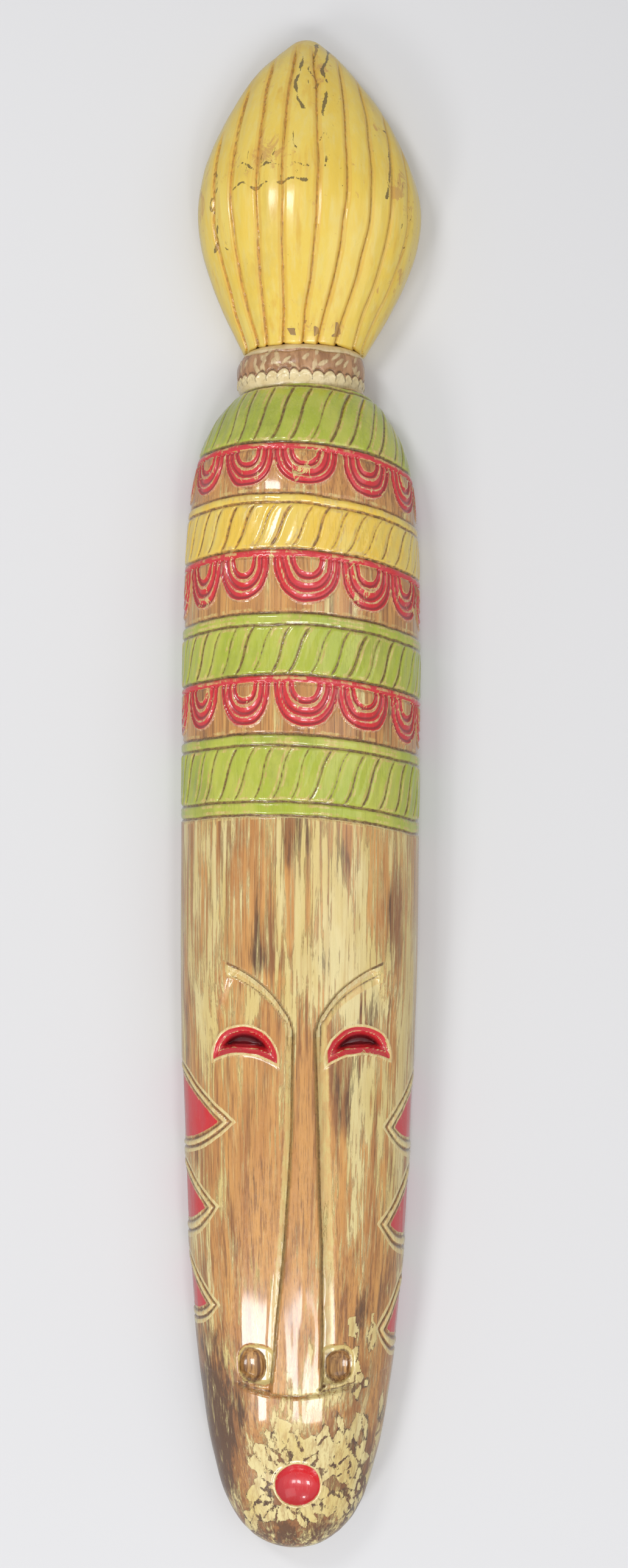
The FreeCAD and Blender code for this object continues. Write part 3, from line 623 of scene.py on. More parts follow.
rim_half = half * np.cos(np.arcsin(np.clip(BELLY / np.maximum(deep - BELLY, BELLY), 0, 1)))
level = back_rows[:, None]


def quarter_round(distance, radius):
    """0 at an end of the hollow and 1 a radius away from it, along a quarter circle."""
    return np.sqrt(np.clip(1 - np.clip(1 - distance / radius, 0, 1) ** 2, 0, 1))


in_hollow = quarter_round(level - HOLLOW_LOW, ROUND_LOW)
in_hollow = in_hollow * quarter_round(HOLLOW_HIGH - level, ROUND_HIGH)
in_recess = ((level >= HOLLOW_HIGH - 14) & (level <= RECESS_HIGH)).astype(float)
hollow_half = (half - SIDE_WALL) * in_hollow
hollow_deep = (deep - FRONT_WALL) * in_hollow
share = np.linspace(-1, 1, BACK_COLUMNS)[None, :]
inner = np.clip(np.abs(share) / BOWL_SHARE, 0, 1)
bowl_angle = inner * math.pi / 2
bowl_half = np.maximum(hollow_half, RECESS_HALF * in_recess)
bowl_x = bowl_half * np.sin(bowl_angle) * (inner < 1) + bowl_half * (inner >= 1)
lip_share = np.clip((np.abs(share) - BOWL_SHARE) / (1 - BOWL_SHARE), 0, 1)
back_x = np.sign(share) * (bowl_x + (rim_half - bowl_half) * lip_share)
oval_depth = hollow_deep * np.cos(bowl_angle) ** 0.8
box_depth = RECESS_DEPTH * in_recess * ease(0, 0.5, (RECESS_HALF + 0.3 - np.abs(back_x)))
back_y = -np.maximum(oval_depth, box_depth) * (inner < 1)
gouge = random_field(back_x / 9, level / 26, 14) + 0.5 * random_field(back_x / 4, level / 12, 15)
back_y = back_y - 0.7 * (gouge + 1) * ease(4, 16, -back_y)
back_place = np.stack((back_x, back_y, np.repeat(level, BACK_COLUMNS, axis=1)), axis=2)
back_place = back_place[:, ::-1]
back_normal = grid_normals(back_place)
back = grid_mesh("mask_back", back_place, back_normal, len(back_rows), BACK_COLUMNS)

# ---------------------------------------------------------------- collar and topknot

collar_skin = Skin(COLLAR, 0.5, 181)
K, U = collar_skin.height, collar_skin.arc
LUMP = 7.6  # width of the lumps along the cream foot's upper edge
lumps = (U + 1.5 * random_field(U / 9, K / 90, 27)) / LUMP
ragged = 768.6 + 1.3 * random_field(U / 11, K / 90, 21) + 3.6 * np.abs(
    np.sin(math.pi * lumps)
) ** 0.5
joint = np.abs(lumps - np.round(lumps)) * LUMP
collar_skin.cut += 0.5 * random_field(U / 8, K / 8, 22) * ease(763, 768, K) * ease(0, 4, 790 - K)
collar_skin.cut += -0.9 * valley(K - ragged + 1.2, 2.0) + 0.9 * valley(K - ragged - 0.9, 1.1)
collar_skin.cut += 0.8 * valley(K - 785.6 - random_field(U / 9, K / 90, 23), 1.2)
collar_skin.mark("cream_foot", ragged - K)
collar_skin.mark("line", 0.5 - np.abs(K - ragged - 0.7))
collar_skin.mark("line", np.where((K > 766) & (K < ragged + 0.5), 0.4 - joint, NO_MARK))
leaf_draw = np.random.default_rng(70).uniform(-1, 1, (34, 5))
for u, k, lean, long, short in leaf_draw:
    off_u, off_k = U - 66 * u, K - 779 - 5 * k
    along = off_u * math.sin(lean) + off_k * math.cos(lean)
    across = off_u * math.cos(lean) - off_k * math.sin(lean)
    half = 1.5 + 0.4 * short
    size = np.hypot(along / (3.8 + 1.2 * long), across / half)
    collar_skin.mark("leaf", (1 - size) * half)
collar_skin.mark("cream_top", K - 786.0 - 0.9 * random_field(U / 8, K / 90, 24))
collar_skin.carve()
COLLAR_MARKS = ("cream_foot", "line", "leaf", "cream_top")
collar = collar_skin.piece("collar_bulge", 0, len(collar_skin.height) - 1, COLLAR_MARKS)

knot = Skin(TOPKNOT, 0.95, 221)
K, U = knot.height, knot.arc
# Grooves between the petals: x at the foot, at the widest place and at the upper end, and the
# upper end's height
PETAL_LINES = (
    (-38, -60, -54, 930),
    (-31, -48, -36, 962),
    (-24, -31, -21, 981),
    (-13, -14.5, -6, 991),
    (-1, 8.5, 5, 989),
    (9, 27, 21, 980),
    (20, 43.5, 34, 967),
    (32, 57, 50, 949),
    (39, 68, 63, 924),
)
WIDEST = 884
knot.cut += 0.35 * random_field(U / 12, K / 60, 31) + 0.15 * random_field(U / 4, K / 30, 32)
for n, (foot_x, wide_x, top_x, end) in enumerate(PETAL_LINES):
    lower = ((K - 790) / (WIDEST - 790)).clip(0, 1)
    upper = ((K - WIDEST) / (end - WIDEST)).clip(0, 1.2)
    line_x = np.where(
        K < WIDEST,
        foot_x + (wide_x - foot_x) * np.sin(lower * math.pi / 2) ** 1.15,
        wide_x + (top_x - wide_x) * upper**1.7,
    )
    line_x = line_x + 0.7 * random_field(K / 18, np.full_like(K, n * 3.0), 33)
    ratio = ((line_x - knot.shift) / np.maximum(knot.half, 1)).clip(-0.999, 0.999)
    away = (knot.angle - np.arcsin(ratio)) * np.maximum(knot.half, 1)
    fade = ease(-3, 12, end - K)
    knot.cut += 1.5 * valley(away, 1.7) * fade
    knot.cut += 1.0 * np.clip(1 - away / 8, 0, 1) * (away > 0) * fade
    knot.mark("line", np.where(fade > 0.02, 0.85 * fade - np.abs(away + 0.2), NO_MARK))
    knot.mark("edge", np.where(fade > 0.02, 1.3 - np.abs(np.abs(away) - 1.8), NO_MARK))
# where the yellow paint has worn off
WORN_BLOTS = (
    (1, -26, 902, 24, 16),
    (0.8, 6, 800, 26, 5),
    (0.7, 10, 962, 9, 24),
    (0.8, 60, 885, 9, 16),
    (0.6, 64, 850, 6, 40),
    (0.5, -70, 880, 6, 30),
)
knot.marks["worn"] = blots(knot.x, K, WORN_BLOTS)
# long cracks that run down from the tip: side position and heights of both ends
CRACKS = ((12, 896, 992), (-4, 936, 990), (5, 952, 994), (52, 880, 930), (-58, 850, 905))
for n, (x, low, high) in enumerate(CRACKS):
    course = x + 3.4 * random_field(K / 11, np.full_like(K, 3.0 * n), 34)
    width = 0.5 + 0.9 * random_field(K / 6, np.full_like(K, 5.0 * n), 35)
    knot.mark("crack", np.where((K > low) & (K < high), width - np.abs(knot.x - course), NO_MARK))
# a scar across the petals on the left
for n, level in enumerate((899, 886)):
    course = level + 3.2 * random_field(knot.x / 8, np.full_like(K, 4.0 * n), 36)
    width = 0.3 + 0.9 * random_field(knot.x / 5, np.full_like(K, 6.0 * n), 37)
    knot.mark("crack", np.where(np.abs(knot.x + 22) < 26, width - np.abs(K - course), NO_MARK))
squares = np.exp(-(((knot.x - 8) / 22) ** 4) - ((K - 799) / 4.5) ** 4)
knot.marks["squares"] = squares
knot.carve()
KNOT_MARKS = ("line", "edge", "crack", "worn", "squares")
topknot = knot.piece("topknot_petals", 0, len(knot.height) - 1, KNOT_MARKS)


FLAT_COLUMNS = 41


def flat_back(name, skin):
    """The sawn flat back of a form, in the plane of the wall."""
    left, right = skin.place[:, 0], skin.place[:, -1]
    share = np.linspace(0, 1, FLAT_COLUMNS)[None, :, None]
    place = right[:, None, :] * (1 - share) + left[:, None, :] * share
    normal = np.zeros_like(place)
    normal[:, :, 1] = 1
    return grid_mesh(name, place, normal, len(left), FLAT_COLUMNS)


collar_flat = flat_back("collar_back", collar_skin)
topknot_flat = flat_back("topknot_back", knot)

# ---------------------------------------------------------------- materials


def colour(red, green, blue):
    """A colour given as it looks on a screen, from 0 to 255, in the shader's linear values."""
    linear = [
        ((c / 255 + 0.055) / 1.055) ** 2.4 if c > 10 else c / 3294.6 for c in (red, green, blue)
    ]
    return (*linear, 1)


class Graph:
    """A material and short words for the nodes that make it."""

    def __init__(self, name):
        self.material = bpy.data.materials.new(name)
        self.material.use_nodes = True
        self.tree = self.material.node_tree
        self.tree.nodes.clear()
        self.shader = self.node("ShaderNodeBsdfPrincipled")
        output = self.node("ShaderNodeOutputMaterial")
        self.tree.links.new(self.shader.outputs[0], output.inputs[0])
        self.place = self.node("ShaderNodeTexCoord").outputs["Object"]

    def node(self, kind, **settings):
        made = self.tree.nodes.new(kind)
        for key, value in settings.items():
            setattr(made, key, value)
        return made

    def put(self, socket, value):
        if isinstance(value, bpy.types.NodeSocket):
            self.tree.links.new(value, socket)
        else:
            socket.default_value = value

    def mark(self, name):
        return self.node("ShaderNodeAttribute", attribute_name=name).outputs["Fac"]

    def math(self, operation, first, second=0.0, third=0.0):
        made = self.node("ShaderNodeMath", operation=operation)
        for socket, value in zip(made.inputs, (first, second, third)):
            self.put(socket, value)
        return made.outputs[0]

    def add(self, first, second):
        return self.math("ADD", first, second)

    def times(self, first, second):
        return self.math("MULTIPLY", first, second)

    def most(self, first, second):
        return self.math("MAXIMUM", first, second)

    def stretched(self, stretch, shift):
        """The place on the object, scaled and moved. A single number scales the height only."""
        if not isinstance(stretch, tuple):
            stretch = (1, 1, stretch)
        made = self.node("ShaderNodeVectorMath", operation="MULTIPLY_ADD")
        self.put(made.inputs[0], self.place)
        made.inputs[1].default_value = stretch
        made.inputs[2].default_value = (shift, shift * 0.7, shift * 1.3)
        return made.outputs[0]

    def noise(self, scale, stretch=1, shift=0.0, detail=3.0, rough=0.55, warp=0.0):
        """Noise from 0 to 1 with about scale waves to the metre, longer where stretch is small."""
        made = self.node("ShaderNodeTexNoise")
        self.put(made.inputs["Vector"], self.stretched(stretch, shift))
        made.inputs["Scale"].default_value = scale
        made.inputs["Detail"].default_value = detail
        made.inputs["Roughness"].default_value = rough
        made.inputs["Distortion"].default_value = warp
        return made.outputs["Fac"]

    def cells(self, scale, stretch, shift, feature="DISTANCE_TO_EDGE", warp=0.0):
        """Cells of about 1 / scale metres. warp bends their edges by up to that many metres."""
        made = self.node("ShaderNodeTexVoronoi", feature=feature)
        bend = self.node("ShaderNodeTexNoise")
        self.put(bend.inputs["Vector"], self.place)
        bend.inputs["Scale"].default_value = 150
        bend.inputs["Detail"].default_value = 4
        moved = self.node("ShaderNodeVectorMath", operation="MULTIPLY_ADD")
        self.put(moved.inputs[0], bend.outputs["Color"])
        moved.inputs[1].default_value = (warp, warp, warp)
        self.put(moved.inputs[2], self.stretched(stretch, shift))
        self.put(made.inputs["Vector"], moved.outputs[0])
        made.inputs["Scale"].default_value = scale
        return made

    def step(self, value, low, high, start=0.0, end=1.0):
        made = self.node("ShaderNodeMapRange", interpolation_type="SMOOTHSTEP")
        for socket, given in zip(made.inputs, (value, low, high, start, end)):
            self.put(socket, given)
        return made.outputs[0]

    def blend(self, share, first, second):
        made = self.node("ShaderNodeMix", data_type="RGBA")
        self.put(made.inputs[0], share)
        self.put(made.inputs[6], first)
        self.put(made.inputs[7], second)
        return made.outputs[2]

    def over(self, base, share, weight, tone):
        """Lays a tone over the base, as much as share times weight says."""
        return self.blend(self.times(share, weight), base, tone)

    def tones(self, value, low, high, first, second):
        """The first tone below low, the second above high, and a mix between them."""
        return self.blend(self.step(value, low, high), first, second)

    def worn_mark(self, name, rag, share, low, high):
        """A mark painted on the mesh, with its edge made ragged."""
        return self.step(self.add(self.mark(name), self.times(rag, share)), low, high)

    def bump(self, height, depth, before=None):
        """Relief of the given depth in millimetres."""
        made = self.node("ShaderNodeBump")
        made.inputs["Strength"].default_value = 1
        made.inputs["Distance"].default_value = depth / 1000
        self.put(made.inputs["Height"], height)
        if before is not None:
            self.put(made.inputs["Normal"], before)
        return made.outputs[0]

    def finish(self, base, rough, normal, coat=0.0, coat_rough=0.1, specular=0.5, metallic=0.0):
        inputs = self.shader.inputs
        self.put(inputs["Base Color"], base)
        self.put(inputs["Roughness"], rough)
        self.put(inputs["Normal"], normal)
        inputs["Coat Weight"].default_value = coat
        inputs["Coat Roughness"].default_value = coat_rough
        inputs["Specular IOR Level"].default_value = specular
        inputs["Metallic"].default_value = metallic
        return self.material


CREAM = colour(224, 201, 128)
PALE_CREAM = colour(234, 217, 155)
OAK = colour(188, 128, 70)
HONEY = colour(212, 154, 86)
TAN = colour(222, 162, 86)
UMBER = colour(140, 90, 50)
SOOT = colour(78, 52, 34)
STAIN = colour(130, 84, 32)
GRAIN = 0.055  # how much slower bare wood changes along its height than across


def old_wood(g, cream, dark, flake, flaking):
    """Brushed brown wood with worn streaks and flakes of cream paint. Gives its colour, its relief
    and the noise of the brush's streaks."""
    wide = g.noise(110, 0.04, 3.1, 4, 0.6, 0.3)
    fine = g.noise(420, 0.02, 7.7, 5, 0.65, 0.2)
    hair = g.noise(1500, 0.018, 1.9, 3, 0.6)
    base = g.tones(wide, 0.38, 0.62, OAK, HONEY)
    tawny = g.noise(60, 0.12, 18.2, 4, 0.6, 0.5)
    base = g.over(base, g.step(tawny, 0.48, 0.66), 0.6, TAN)
    base = g.over(base, g.step(fine, 0.47, 0.66), 0.7, UMBER)
    base = g.over(base, g.step(hair, 0.52, 0.68), 0.45, SOOT)
    shade = g.add(g.add(g.times(g.noise(40, 0.2, 5.2, 5, 0.6, 0.6), 0.6), g.times(fine, 0.4)), dark)
    base = g.over(base, g.step(shade, 0.55, 0.70), 0.8, UMBER)
    soot = g.add(g.noise(160, 0.07, 9.4, 6, 0.7, 0.5), g.times(dark, 0.72))
    base = g.over(base, g.step(soot, 0.60, 0.74), 0.8, SOOT)
    flecks = g.noise(600, 0.03, 12.6, 4, 0.62, 0.2)
    brushed = g.add(g.times(g.noise(190, 0.045, 2.6, 5, 0.68, 0.5), 0.5), g.times(flecks, 0.5))
    patch = g.noise(42, 0.22, 8.8, 6, 0.68, 0.8)
    left = g.add(g.add(g.times(brushed, 1.55), g.times(patch, 0.75)), cream)
    left = g.add(left, g.times(g.noise(75, 0.06, 21.4, 4, 0.6, 0.6), 0.5))
    paint = g.step(left, 1.44, 1.51)
    wash = g.step(left, 1.32, 1.48)
    cream_tone = g.tones(g.noise(60, 0.3, 4.4), 0.35, 0.65, CREAM, PALE_CREAM)
    cream_tone = g.over(cream_tone, g.step(fine, 0.48, 0.66), 0.45, colour(200, 160, 92))
    base = g.over(base, wash, 0.4, cream_tone)
    base = g.over(base, paint, 0.88, cream_tone)
    torn = g.add(g.noise(420, 0.45, 6.1, 5, 0.75, 0.8), g.noise(110, 0.6, 14.1, 4, 0.7, 0.8))
    ragged = g.times(g.add(torn, -1.0), 4.2)
    edge = g.add(flake, ragged)
    chip = g.step(edge, -0.25, 0.15)
    ring = g.times(
        g.step(g.add(flake, g.times(ragged, 0.6)), -2.4, -0.4), g.math("SUBTRACT", 1.0, chip)
    )
    bare = g.noise(95, 0.4, 16.1, 5, 0.65, 0.8)
    base = g.over(base, flaking, g.step(bare, 0.36, 0.60, 0.2, 0.95), UMBER)
    base = g.over(base, ring, g.step(bare, 0.35, 0.65, 0.35, 0.9), SOOT)
    base = g.over(base, chip, g.step(fine, 0.42, 0.62, 0.97, 0.7), cream_tone)
    relief = g.add(g.times(fine, 0.5), g.times(hair, 0.35))
    relief = g.add(relief, g.times(g.most(paint, chip), 0.5))
    return base, relief, brushed


def painted_face():
    """Wood with green, yellow and red paint, cream lines and stained cuts, under old varnish."""
    g = Graph("painted_face_wood")
    base, relief, brushed_out = old_wood(
        g, g.mark("cream"), g.mark("dark"), g.mark("flake"), g.mark("flaking")
    )
    rag = g.times(g.add(g.noise(330, 0.5, 1.2, 5, 0.7), -0.5), 2.6)
    scuff = g.noise(150, 0.4, 12.3, 6, 0.75, 1.2)
    fleck = g.noise(520, 0.25, 15.1, 4, 0.7)
    flaw = g.noise(70, 0.6, 25.1, 5, 0.7, 0.8)
    wear = g.times(g.step(g.add(g.times(scuff, 0.6), g.times(flaw, 0.4)), 0.57, 0.64), 3.4)
    lime = g.tones(g.noise(55, 0.5, 2.2, 4), 0.36, 0.66, colour(172, 184, 52), colour(190, 194, 78))
    lime = g.over(lime, g.step(fleck, 0.5, 0.75), 0.35, colour(198, 202, 118))
    lime = g.over(
        lime, g.step(g.noise(26, 0.8, 5.2, 5, 0.65), 0.5, 0.66), 0.5, colour(150, 158, 58)
    )
    sun = g.tones(g.noise(50, 0.5, 3.2, 4), 0.36, 0.66, colour(236, 196, 70), colour(234, 208, 104))
    sun = g.over(sun, g.step(fleck, 0.5, 0.75), 0.3, colour(216, 168, 62))
    rose = g.tones(g.noise(75, 0.5, 4.2, 4), 0.36, 0.66, colour(212, 30, 38), colour(208, 50, 60))
    rose = g.over(rose, g.step(fleck, 0.54, 0.74), 0.3, colour(224, 104, 98))
    # painted shade: the red turns dark maroon deep in the eye pockets
    rose = g.over(rose, g.step(g.mark("deep"), -1.0, 1.4), 0.86, colour(96, 8, 22))
    rose = g.over(rose, g.step(g.mark("crease"), -0.3, 0.45), 0.7, colour(112, 26, 28))
    thickness = None
    for name, paint, wearing in (("green", lime, 0.55), ("yellow", sun, 0.5), ("red", rose, 1.0)):
        reach = g.add(g.add(g.mark(name), g.times(rag, 0.55)), g.times(wear, -wearing))
        shown = g.step(reach, -0.12, 0.18)
        under = g.times(g.step(g.add(g.mark(name), 0.25), -0.1, 0.1), 0.8)
        base = g.blend(under, base, g.tones(scuff, 0.40, 0.56, HONEY, CREAM))
        base = g.blend(shown, base, paint)
        thickness = shown if thickness is None else g.most(thickness, shown)
    ridge = g.worn_mark("ridge", rag, 0.5, -0.15, 0.25)
    base = g.over(
        base, ridge, 0.7, g.tones(fleck, 0.4, 0.6, colour(228, 186, 148), colour(190, 110, 90))
    )
    strip = g.worn_mark("strip", rag, 1.0, -0.4, 0.8)
    strip = g.times(strip, g.step(brushed_out, 0.44, 0.64, 1.0, 0.5))
    base = g.blend(strip, base, g.tones(scuff, 0.40, 0.6, CREAM, colour(222, 184, 112)))
    rim = g.worn_mark("rim", rag, 0.3, -0.2, 0.2)
    base = g.blend(rim, base, g.tones(scuff, 0.42, 0.6, colour(228, 182, 104), CREAM))
    patch = g.step(g.add(g.mark("patch"), rag), -0.2, 0.3)
    base = g.over(base, patch, 0.92, g.tones(scuff, 0.5, 0.66, CREAM, colour(196, 160, 92)))
    pit = g.worn_mark("hollow", rag, 0.6, -0.2, 0.4)
    base = g.blend(
        pit, base, g.tones(brushed_out, 0.40, 0.6, colour(112, 72, 38), colour(206, 156, 92))
    )
    lines = g.step(
        g.add(g.mark("cream_line"), g.add(g.times(rag, 0.42), g.times(wear, -0.25))), -0.1, 0.14
    )
    base = g.over(base, lines, 0.9, g.tones(fleck, 0.42, 0.62, PALE_CREAM, colour(222, 186, 122)))
    scarred = g.worn_mark("edge", rag, 0.9, 0.0, 0.7)
    scarred = g.times(scarred, g.step(flaw, 0.46, 0.58))
    base = g.over(base, scarred, 0.75, g.tones(fleck, 0.4, 0.6, CREAM, colour(204, 166, 96)))
    cut = g.worn_mark("line", rag, 0.5, -0.3, 0.5)
    grit = g.step(g.noise(330, 1, 2.9, 4, 0.65), 0.36, 0.62)
    warm = g.tones(g.mark("yellow"), -1.5, 0.0, STAIN, colour(178, 112, 34))
    base = g.over(
        base, cut, g.step(grit, 0, 1, 0.72, 0.95), g.over(warm, grit, 0.8, colour(96, 66, 28))
    )
    thickness = g.most(thickness, g.most(lines, patch))
    normal = g.bump(g.times(relief, g.step(thickness, 0, 1, 1.0, 0.35)), 0.55)
    normal = g.bump(thickness, 0.22, normal)
    normal = g.bump(g.noise(240, 0.6, 6.6, 3, 0.5), 0.22, normal)
    rough = g.step(g.add(g.times(scuff, 0.6), g.times(fleck, 0.4)), 0.35, 0.65, 0.24, 0.42)
    return g.finish(base, rough, normal, coat=0.9, coat_rough=0.09)


def painted_knot():
    """Worn yellow paint with orange in its cuts and dark cracks along the petals."""
    g = Graph("yellow_topknot_wood")
    along = 0.1
    broad = g.noise(46, 0.5, 2.1, 4, 0.55, 0.4)
    brushed = g.noise(300, along, 5.5, 5, 0.6)
    base = g.tones(broad, 0.34, 0.66, colour(234, 206, 98), colour(232, 198, 78))
    base = g.over(base, g.step(brushed, 0.45, 0.7), 0.55, colour(230, 208, 122))
    base = g.over(base, g.step(g.noise(120, along, 8.1, 5), 0.54, 0.72), 0.5, colour(214, 160, 50))
    base = g.over(
        base, g.step(g.noise(34, 0.6, 9.1, 5, 0.65), 0.54, 0.68), 0.35, colour(206, 178, 84)
    )
    worn = g.mark("worn")
    bare = g.add(g.noise(85, 0.7, 3.7, 6, 0.7, 0.8), g.times(worn, 0.17))
    base = g.over(base, g.step(bare, 0.63, 0.72), 0.75, colour(200, 152, 84))
    crack = g.add(g.noise(210, 0.3, 1.4, 6, 0.75, 1.0), g.times(worn, 0.07))
    split = g.add(g.mark("crack"), g.times(g.add(g.noise(520, 0.5, 4.1, 5, 0.75), -0.5), 4.0))
    cracks = g.most(g.step(crack, 0.675, 0.71), g.step(split, -0.1, 0.3))
    base = g.over(base, cracks, 0.85, colour(92, 74, 44))
    rag = g.times(g.add(g.noise(330, 0.3, 1.2, 5, 0.7), -0.5), 2.4)
    square_cells = g.cells(190, (1, 0.2, 0.8), 2.4, "F1").outputs["Color"]
    lot = g.node("ShaderNodeSeparateColor")
    g.put(lot.inputs[0], square_cells)
    chip = g.times(g.step(g.mark("squares"), 0.35, 0.45), g.step(lot.outputs[1], 0.62, 0.64))
    base = g.over(base, chip, 0.85, colour(140, 104, 74))
    edge = g.worn_mark("edge", rag, 0.5, -0.1, 0.4)
    base = g.over(base, edge, 0.35, colour(218, 164, 62))
    cut = g.worn_mark("line", rag, 0.5, -0.3, 0.6)
    grit = g.step(g.noise(700, 0.4, 2.9, 3, 0.6), 0.4, 0.66)
    base = g.over(base, cut, 0.88, g.over(colour(206, 142, 46), grit, 0.7, colour(128, 86, 30)))
    relief = g.add(g.times(brushed, 0.5), g.times(cracks, -0.8))
    normal = g.bump(g.add(relief, g.times(chip, -0.5)), 0.35)
    normal = g.bump(g.noise(180, 0.5, 6.6, 3, 0.5), 0.3, normal)
    rough = g.step(broad, 0.35, 0.65, 0.26, 0.4)
    return g.finish(base, rough, normal, coat=0.5, coat_rough=0.15)


def painted_collar():
    """Glossy brown wood with leaf-shaped chips of cream and a ragged cream foot."""
    g = Graph("painted_collar_wood")
    wide = g.noise(120, 0.35, 3.1, 4, 0.6, 0.5)
    fine = g.noise(520, 0.2, 7.7, 5, 0.65, 0.2)
    base = g.tones(wide, 0.36, 0.64, colour(156, 112, 76), colour(194, 148, 106))
    base = g.over(base, g.step(fine, 0.5, 0.7), 0.5, colour(112, 74, 48))
    tone = g.tones(g.noise(150, 1, 4.4), 0.35, 0.65, colour(222, 200, 148), colour(236, 218, 170))
    torn = g.times(g.add(g.noise(420, 1, 3.3, 5, 0.7), -0.5), 2.2)
    chips = g.times(
        g.step(g.add(g.mark("leaf"), torn), -0.15, 0.55), g.step(fine, 0.35, 0.6, 1.0, 0.6)
    )
    base = g.over(base, chips, 0.78, tone)
    rag = g.times(g.add(g.noise(330, 1, 1.2, 5, 0.7), -0.5), 2.4)
    foot = g.worn_mark("cream_foot", rag, 0.4, -0.1, 0.2)
    top = g.worn_mark("cream_top", rag, 0.6, -0.1, 0.3)
    pale = g.most(foot, g.times(top, 0.8))
    base = g.over(base, pale, 0.95, tone)
    vein = g.times(
        g.step(g.cells(95, (1, 1, 0.5), 7.2, warp=0.012).outputs["Distance"], 0.045, 0.02), foot
    )
    base = g.over(base, vein, 0.18, colour(120, 96, 62))
    cut = g.worn_mark("line", rag, 0.5, -0.2, 0.4)
    base = g.over(base, cut, 0.8, colour(82, 62, 40))
    raised = g.add(g.times(g.most(chips, pale), 0.6), g.times(fine, 0.4))
    normal = g.bump(raised, 0.35)
    normal = g.bump(g.noise(220, 0.7, 6.6, 3, 0.5), 0.3, normal)
    rough = g.step(wide, 0.35, 0.65, 0.22, 0.36)
    return g.finish(base, rough, normal, coat=0.5, coat_rough=0.14)


def bare_wood(name, light, deep_tone, scale):
    """Unpainted wood left from the gouge, with grain along its height."""
    g = Graph(name)
    wide = g.noise(80 * scale, GRAIN, 3.1, 4, 0.6, 0.4)
    fine = g.noise(480 * scale, 0.04, 7.7, 5, 0.65, 0.2)
    mottled = g.noise(22 * scale, 0.5, 1.7, 5, 0.6, 0.4)
    base = g.tones(wide, 0.35, 0.65, light, deep_tone)
    base = g.over(base, g.step(fine, 0.5, 0.7), 0.5, UMBER)
    base = g.over(base, g.step(mottled, 0.52, 0.72), 0.35, colour(120, 88, 60))
    normal = g.bump(g.add(fine, wide), 0.4)
    normal = g.bump(g.noise(260 * scale, 0.3, 6.6, 4, 0.6), 0.3, normal)
    return g.finish(base, g.step(fine, 0.35, 0.65, 0.55, 0.8), normal, specular=0.35)


def zinc_steel():
    """Zinc-plated steel: bluish grey spangle, handling scratches and a little white bloom."""
    g = Graph("zinc_steel")
    spangle = g.noise(900, 1, 2.2, 4, 0.6, 0.6)
    bloom = g.noise(260, 1, 6.2, 6, 0.7, 0.8)
    scratch = g.noise(2600, (1, 0.15, 0.15), 4.4, 3, 0.6)
    base = g.tones(spangle, 0.35, 0.65, colour(176, 180, 184), colour(206, 208, 208))
    base = g.over(base, g.step(bloom, 0.56, 0.7), 0.6, colour(226, 226, 220))
    base = g.over(base, g.step(bloom, 0.42, 0.32), 0.5, colour(138, 128, 112))
    normal = g.bump(g.add(g.times(scratch, 0.6), spangle), 0.05)
    rough = g.step(g.add(g.times(bloom, 0.6), g.times(scratch, 0.4)), 0.35, 0.65, 0.28, 0.5)
    return g.finish(base, rough, normal, metallic=0.9)


face_material = painted_face()
for obj in (muzzle, brow, bands):
    obj.data.materials.append(face_material)
collar.data.materials.append(painted_collar())
topknot.data.materials.append(painted_knot())
hollow_wood = bare_wood("hollow_wood", colour(196, 158, 112), colour(170, 128, 84), 1.0)
for obj in (back, collar_flat, topknot_flat):
    obj.data.materials.append(hollow_wood)

for obj in (muzzle, brow, bands, back):
    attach(obj, "mask")
    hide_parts("mask_body")
for obj in (collar, collar_flat):
    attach(obj, "mask")
    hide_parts("collar")
for obj in (topknot, topknot_flat):
    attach(obj, "mask")
    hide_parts("topknot")

zinc = zinc_steel()
for name in ("hanger_strap", "hanger_ring", "hanger_screws"):
    nodes[name].data.materials.clear()
    nodes[name].data.materials.append(zinc)
nodes["neck_dowels"].data.materials.clear()
nodes["neck_dowels"].data.materials.append(
    bare_wood("dowel_wood", colour(224, 190, 140), colour(206, 166, 112), 2.0)
)

# ---------------------------------------------------------------- studio


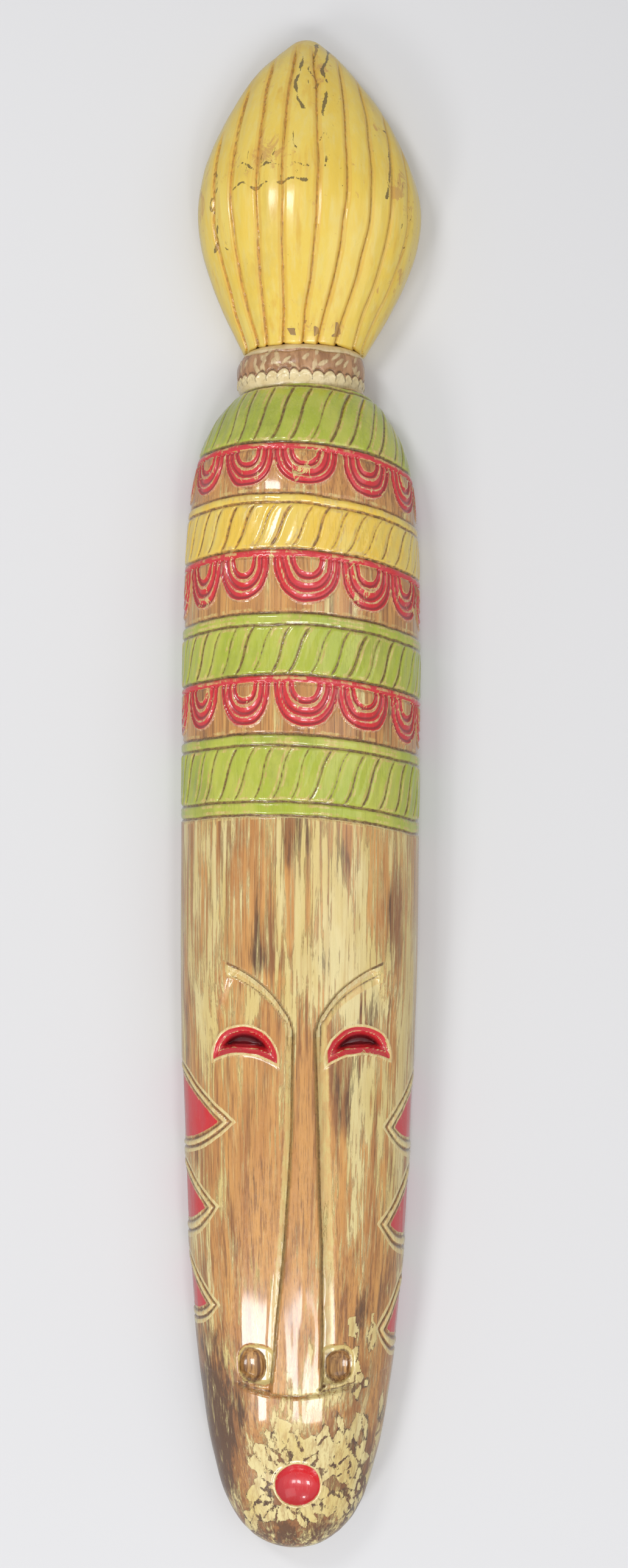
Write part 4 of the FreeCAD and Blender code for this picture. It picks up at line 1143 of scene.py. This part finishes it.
def backdrop():
    """A pale wall just behind the mask that runs down into a pale floor. It shows from its front
    only, so the back of the mask can be seen from behind it."""
    wall_y, floor_z, bend, far, high, wide = 0.0016, chin_z - 1.7, 0.35, -4.5, 2.6, 4.0
    line = [(wall_y, high), (wall_y, floor_z + bend)]
    turns = 12
    for n in range(1, turns + 1):
        angle = math.pi / 2 * n / turns
        line.append((wall_y - bend * (1 - math.cos(angle)), floor_z + bend * (1 - math.sin(angle))))
    line.append((far, floor_z))
    points = [(x, y, z) for x in (-wide, wide) for y, z in line]
    count = len(line)
    faces = [(n, n + 1, count + n + 1, count + n) for n in range(count - 1)]
    mesh = bpy.data.meshes.new("backdrop")
    mesh.from_pydata(points, [], faces)
    for face in mesh.polygons:
        face.use_smooth = True
    obj = new_object("backdrop", mesh)
    g = Graph("paper")
    g.shader.inputs["Base Color"].default_value = colour(221, 221, 223)
    g.shader.inputs["Roughness"].default_value = 0.9
    g.shader.inputs["Specular IOR Level"].default_value = 0.1
    clear = g.node("ShaderNodeBsdfTransparent")
    choose = g.node("ShaderNodeMixShader")
    g.put(choose.inputs[0], g.node("ShaderNodeNewGeometry").outputs["Backfacing"])
    g.tree.links.new(g.shader.outputs[0], choose.inputs[1])
    g.tree.links.new(clear.outputs[0], choose.inputs[2])
    output = next(n for n in g.tree.nodes if n.type == "OUTPUT_MATERIAL")
    g.tree.links.new(choose.outputs[0], output.inputs[0])
    obj.data.materials.append(g.material)
    # it takes shadows but keeps no light from the back of the mask
    obj.visible_diffuse = obj.visible_glossy = obj.visible_shadow = False
    return obj


def area_light(name, place, target, width, height, power):
    lamp = bpy.data.lights.new(name, "AREA")
    lamp.shape = "RECTANGLE"
    lamp.size, lamp.size_y = width, height
    lamp.energy = power
    obj = new_object(name, lamp)
    obj.location = place
    obj.rotation_euler = (Vector(target) - Vector(place)).to_track_quat("-Z", "Y").to_euler()
    return obj


backdrop()
middle_z = chin_z + 0.5  # half the mask's height
area_light("key_high", (-0.62, -1.15, middle_z + 0.62), (0, 0, middle_z + 0.3), 0.32, 0.24, 4.5)
# low lamps for the highlights: turn round the mask in degrees, width in metres and watts
LOW_DISTANCE, LOW_DROP, LOW_HEIGHT = 2.12, 1.7, 0.62
for turn, width, power in ((-39, 0.46, 16), (-2, 0.46, 13), (18, 0.4, 9)):
    aside, forward = math.sin(math.radians(turn)), math.cos(math.radians(turn))
    low = (LOW_DISTANCE * aside, -LOW_DISTANCE * forward, middle_z - LOW_DROP)
    area_light("key_low", low, (0, 0, middle_z - 0.36), width, LOW_HEIGHT, power)
area_light("fill", (0.9, -1.4, middle_z + 0.1), (0, 0, middle_z), 1.2, 1.2, 4)

world = bpy.data.worlds.new("studio")
bpy.context.scene.world = world
world.use_nodes = True
background = world.node_tree.nodes["Background"]
background.inputs[0].default_value = (1, 1, 1, 1)
background.inputs[1].default_value = 0.46

camera_data = bpy.data.cameras.new("camera")
camera_data.lens = 37.9
camera_data.sensor_width = 36
camera_data.clip_start = 0.05
camera = new_object("camera", camera_data)
camera.rotation_mode = "XYZ"
camera.location = (0.009, -1.11, chin_z + 0.505)
camera.rotation_euler = (math.pi / 2, math.radians(-0.46), 0)
bpy.context.scene.camera = camera
bpy.context.scene.view_settings.view_transform = "Standard"
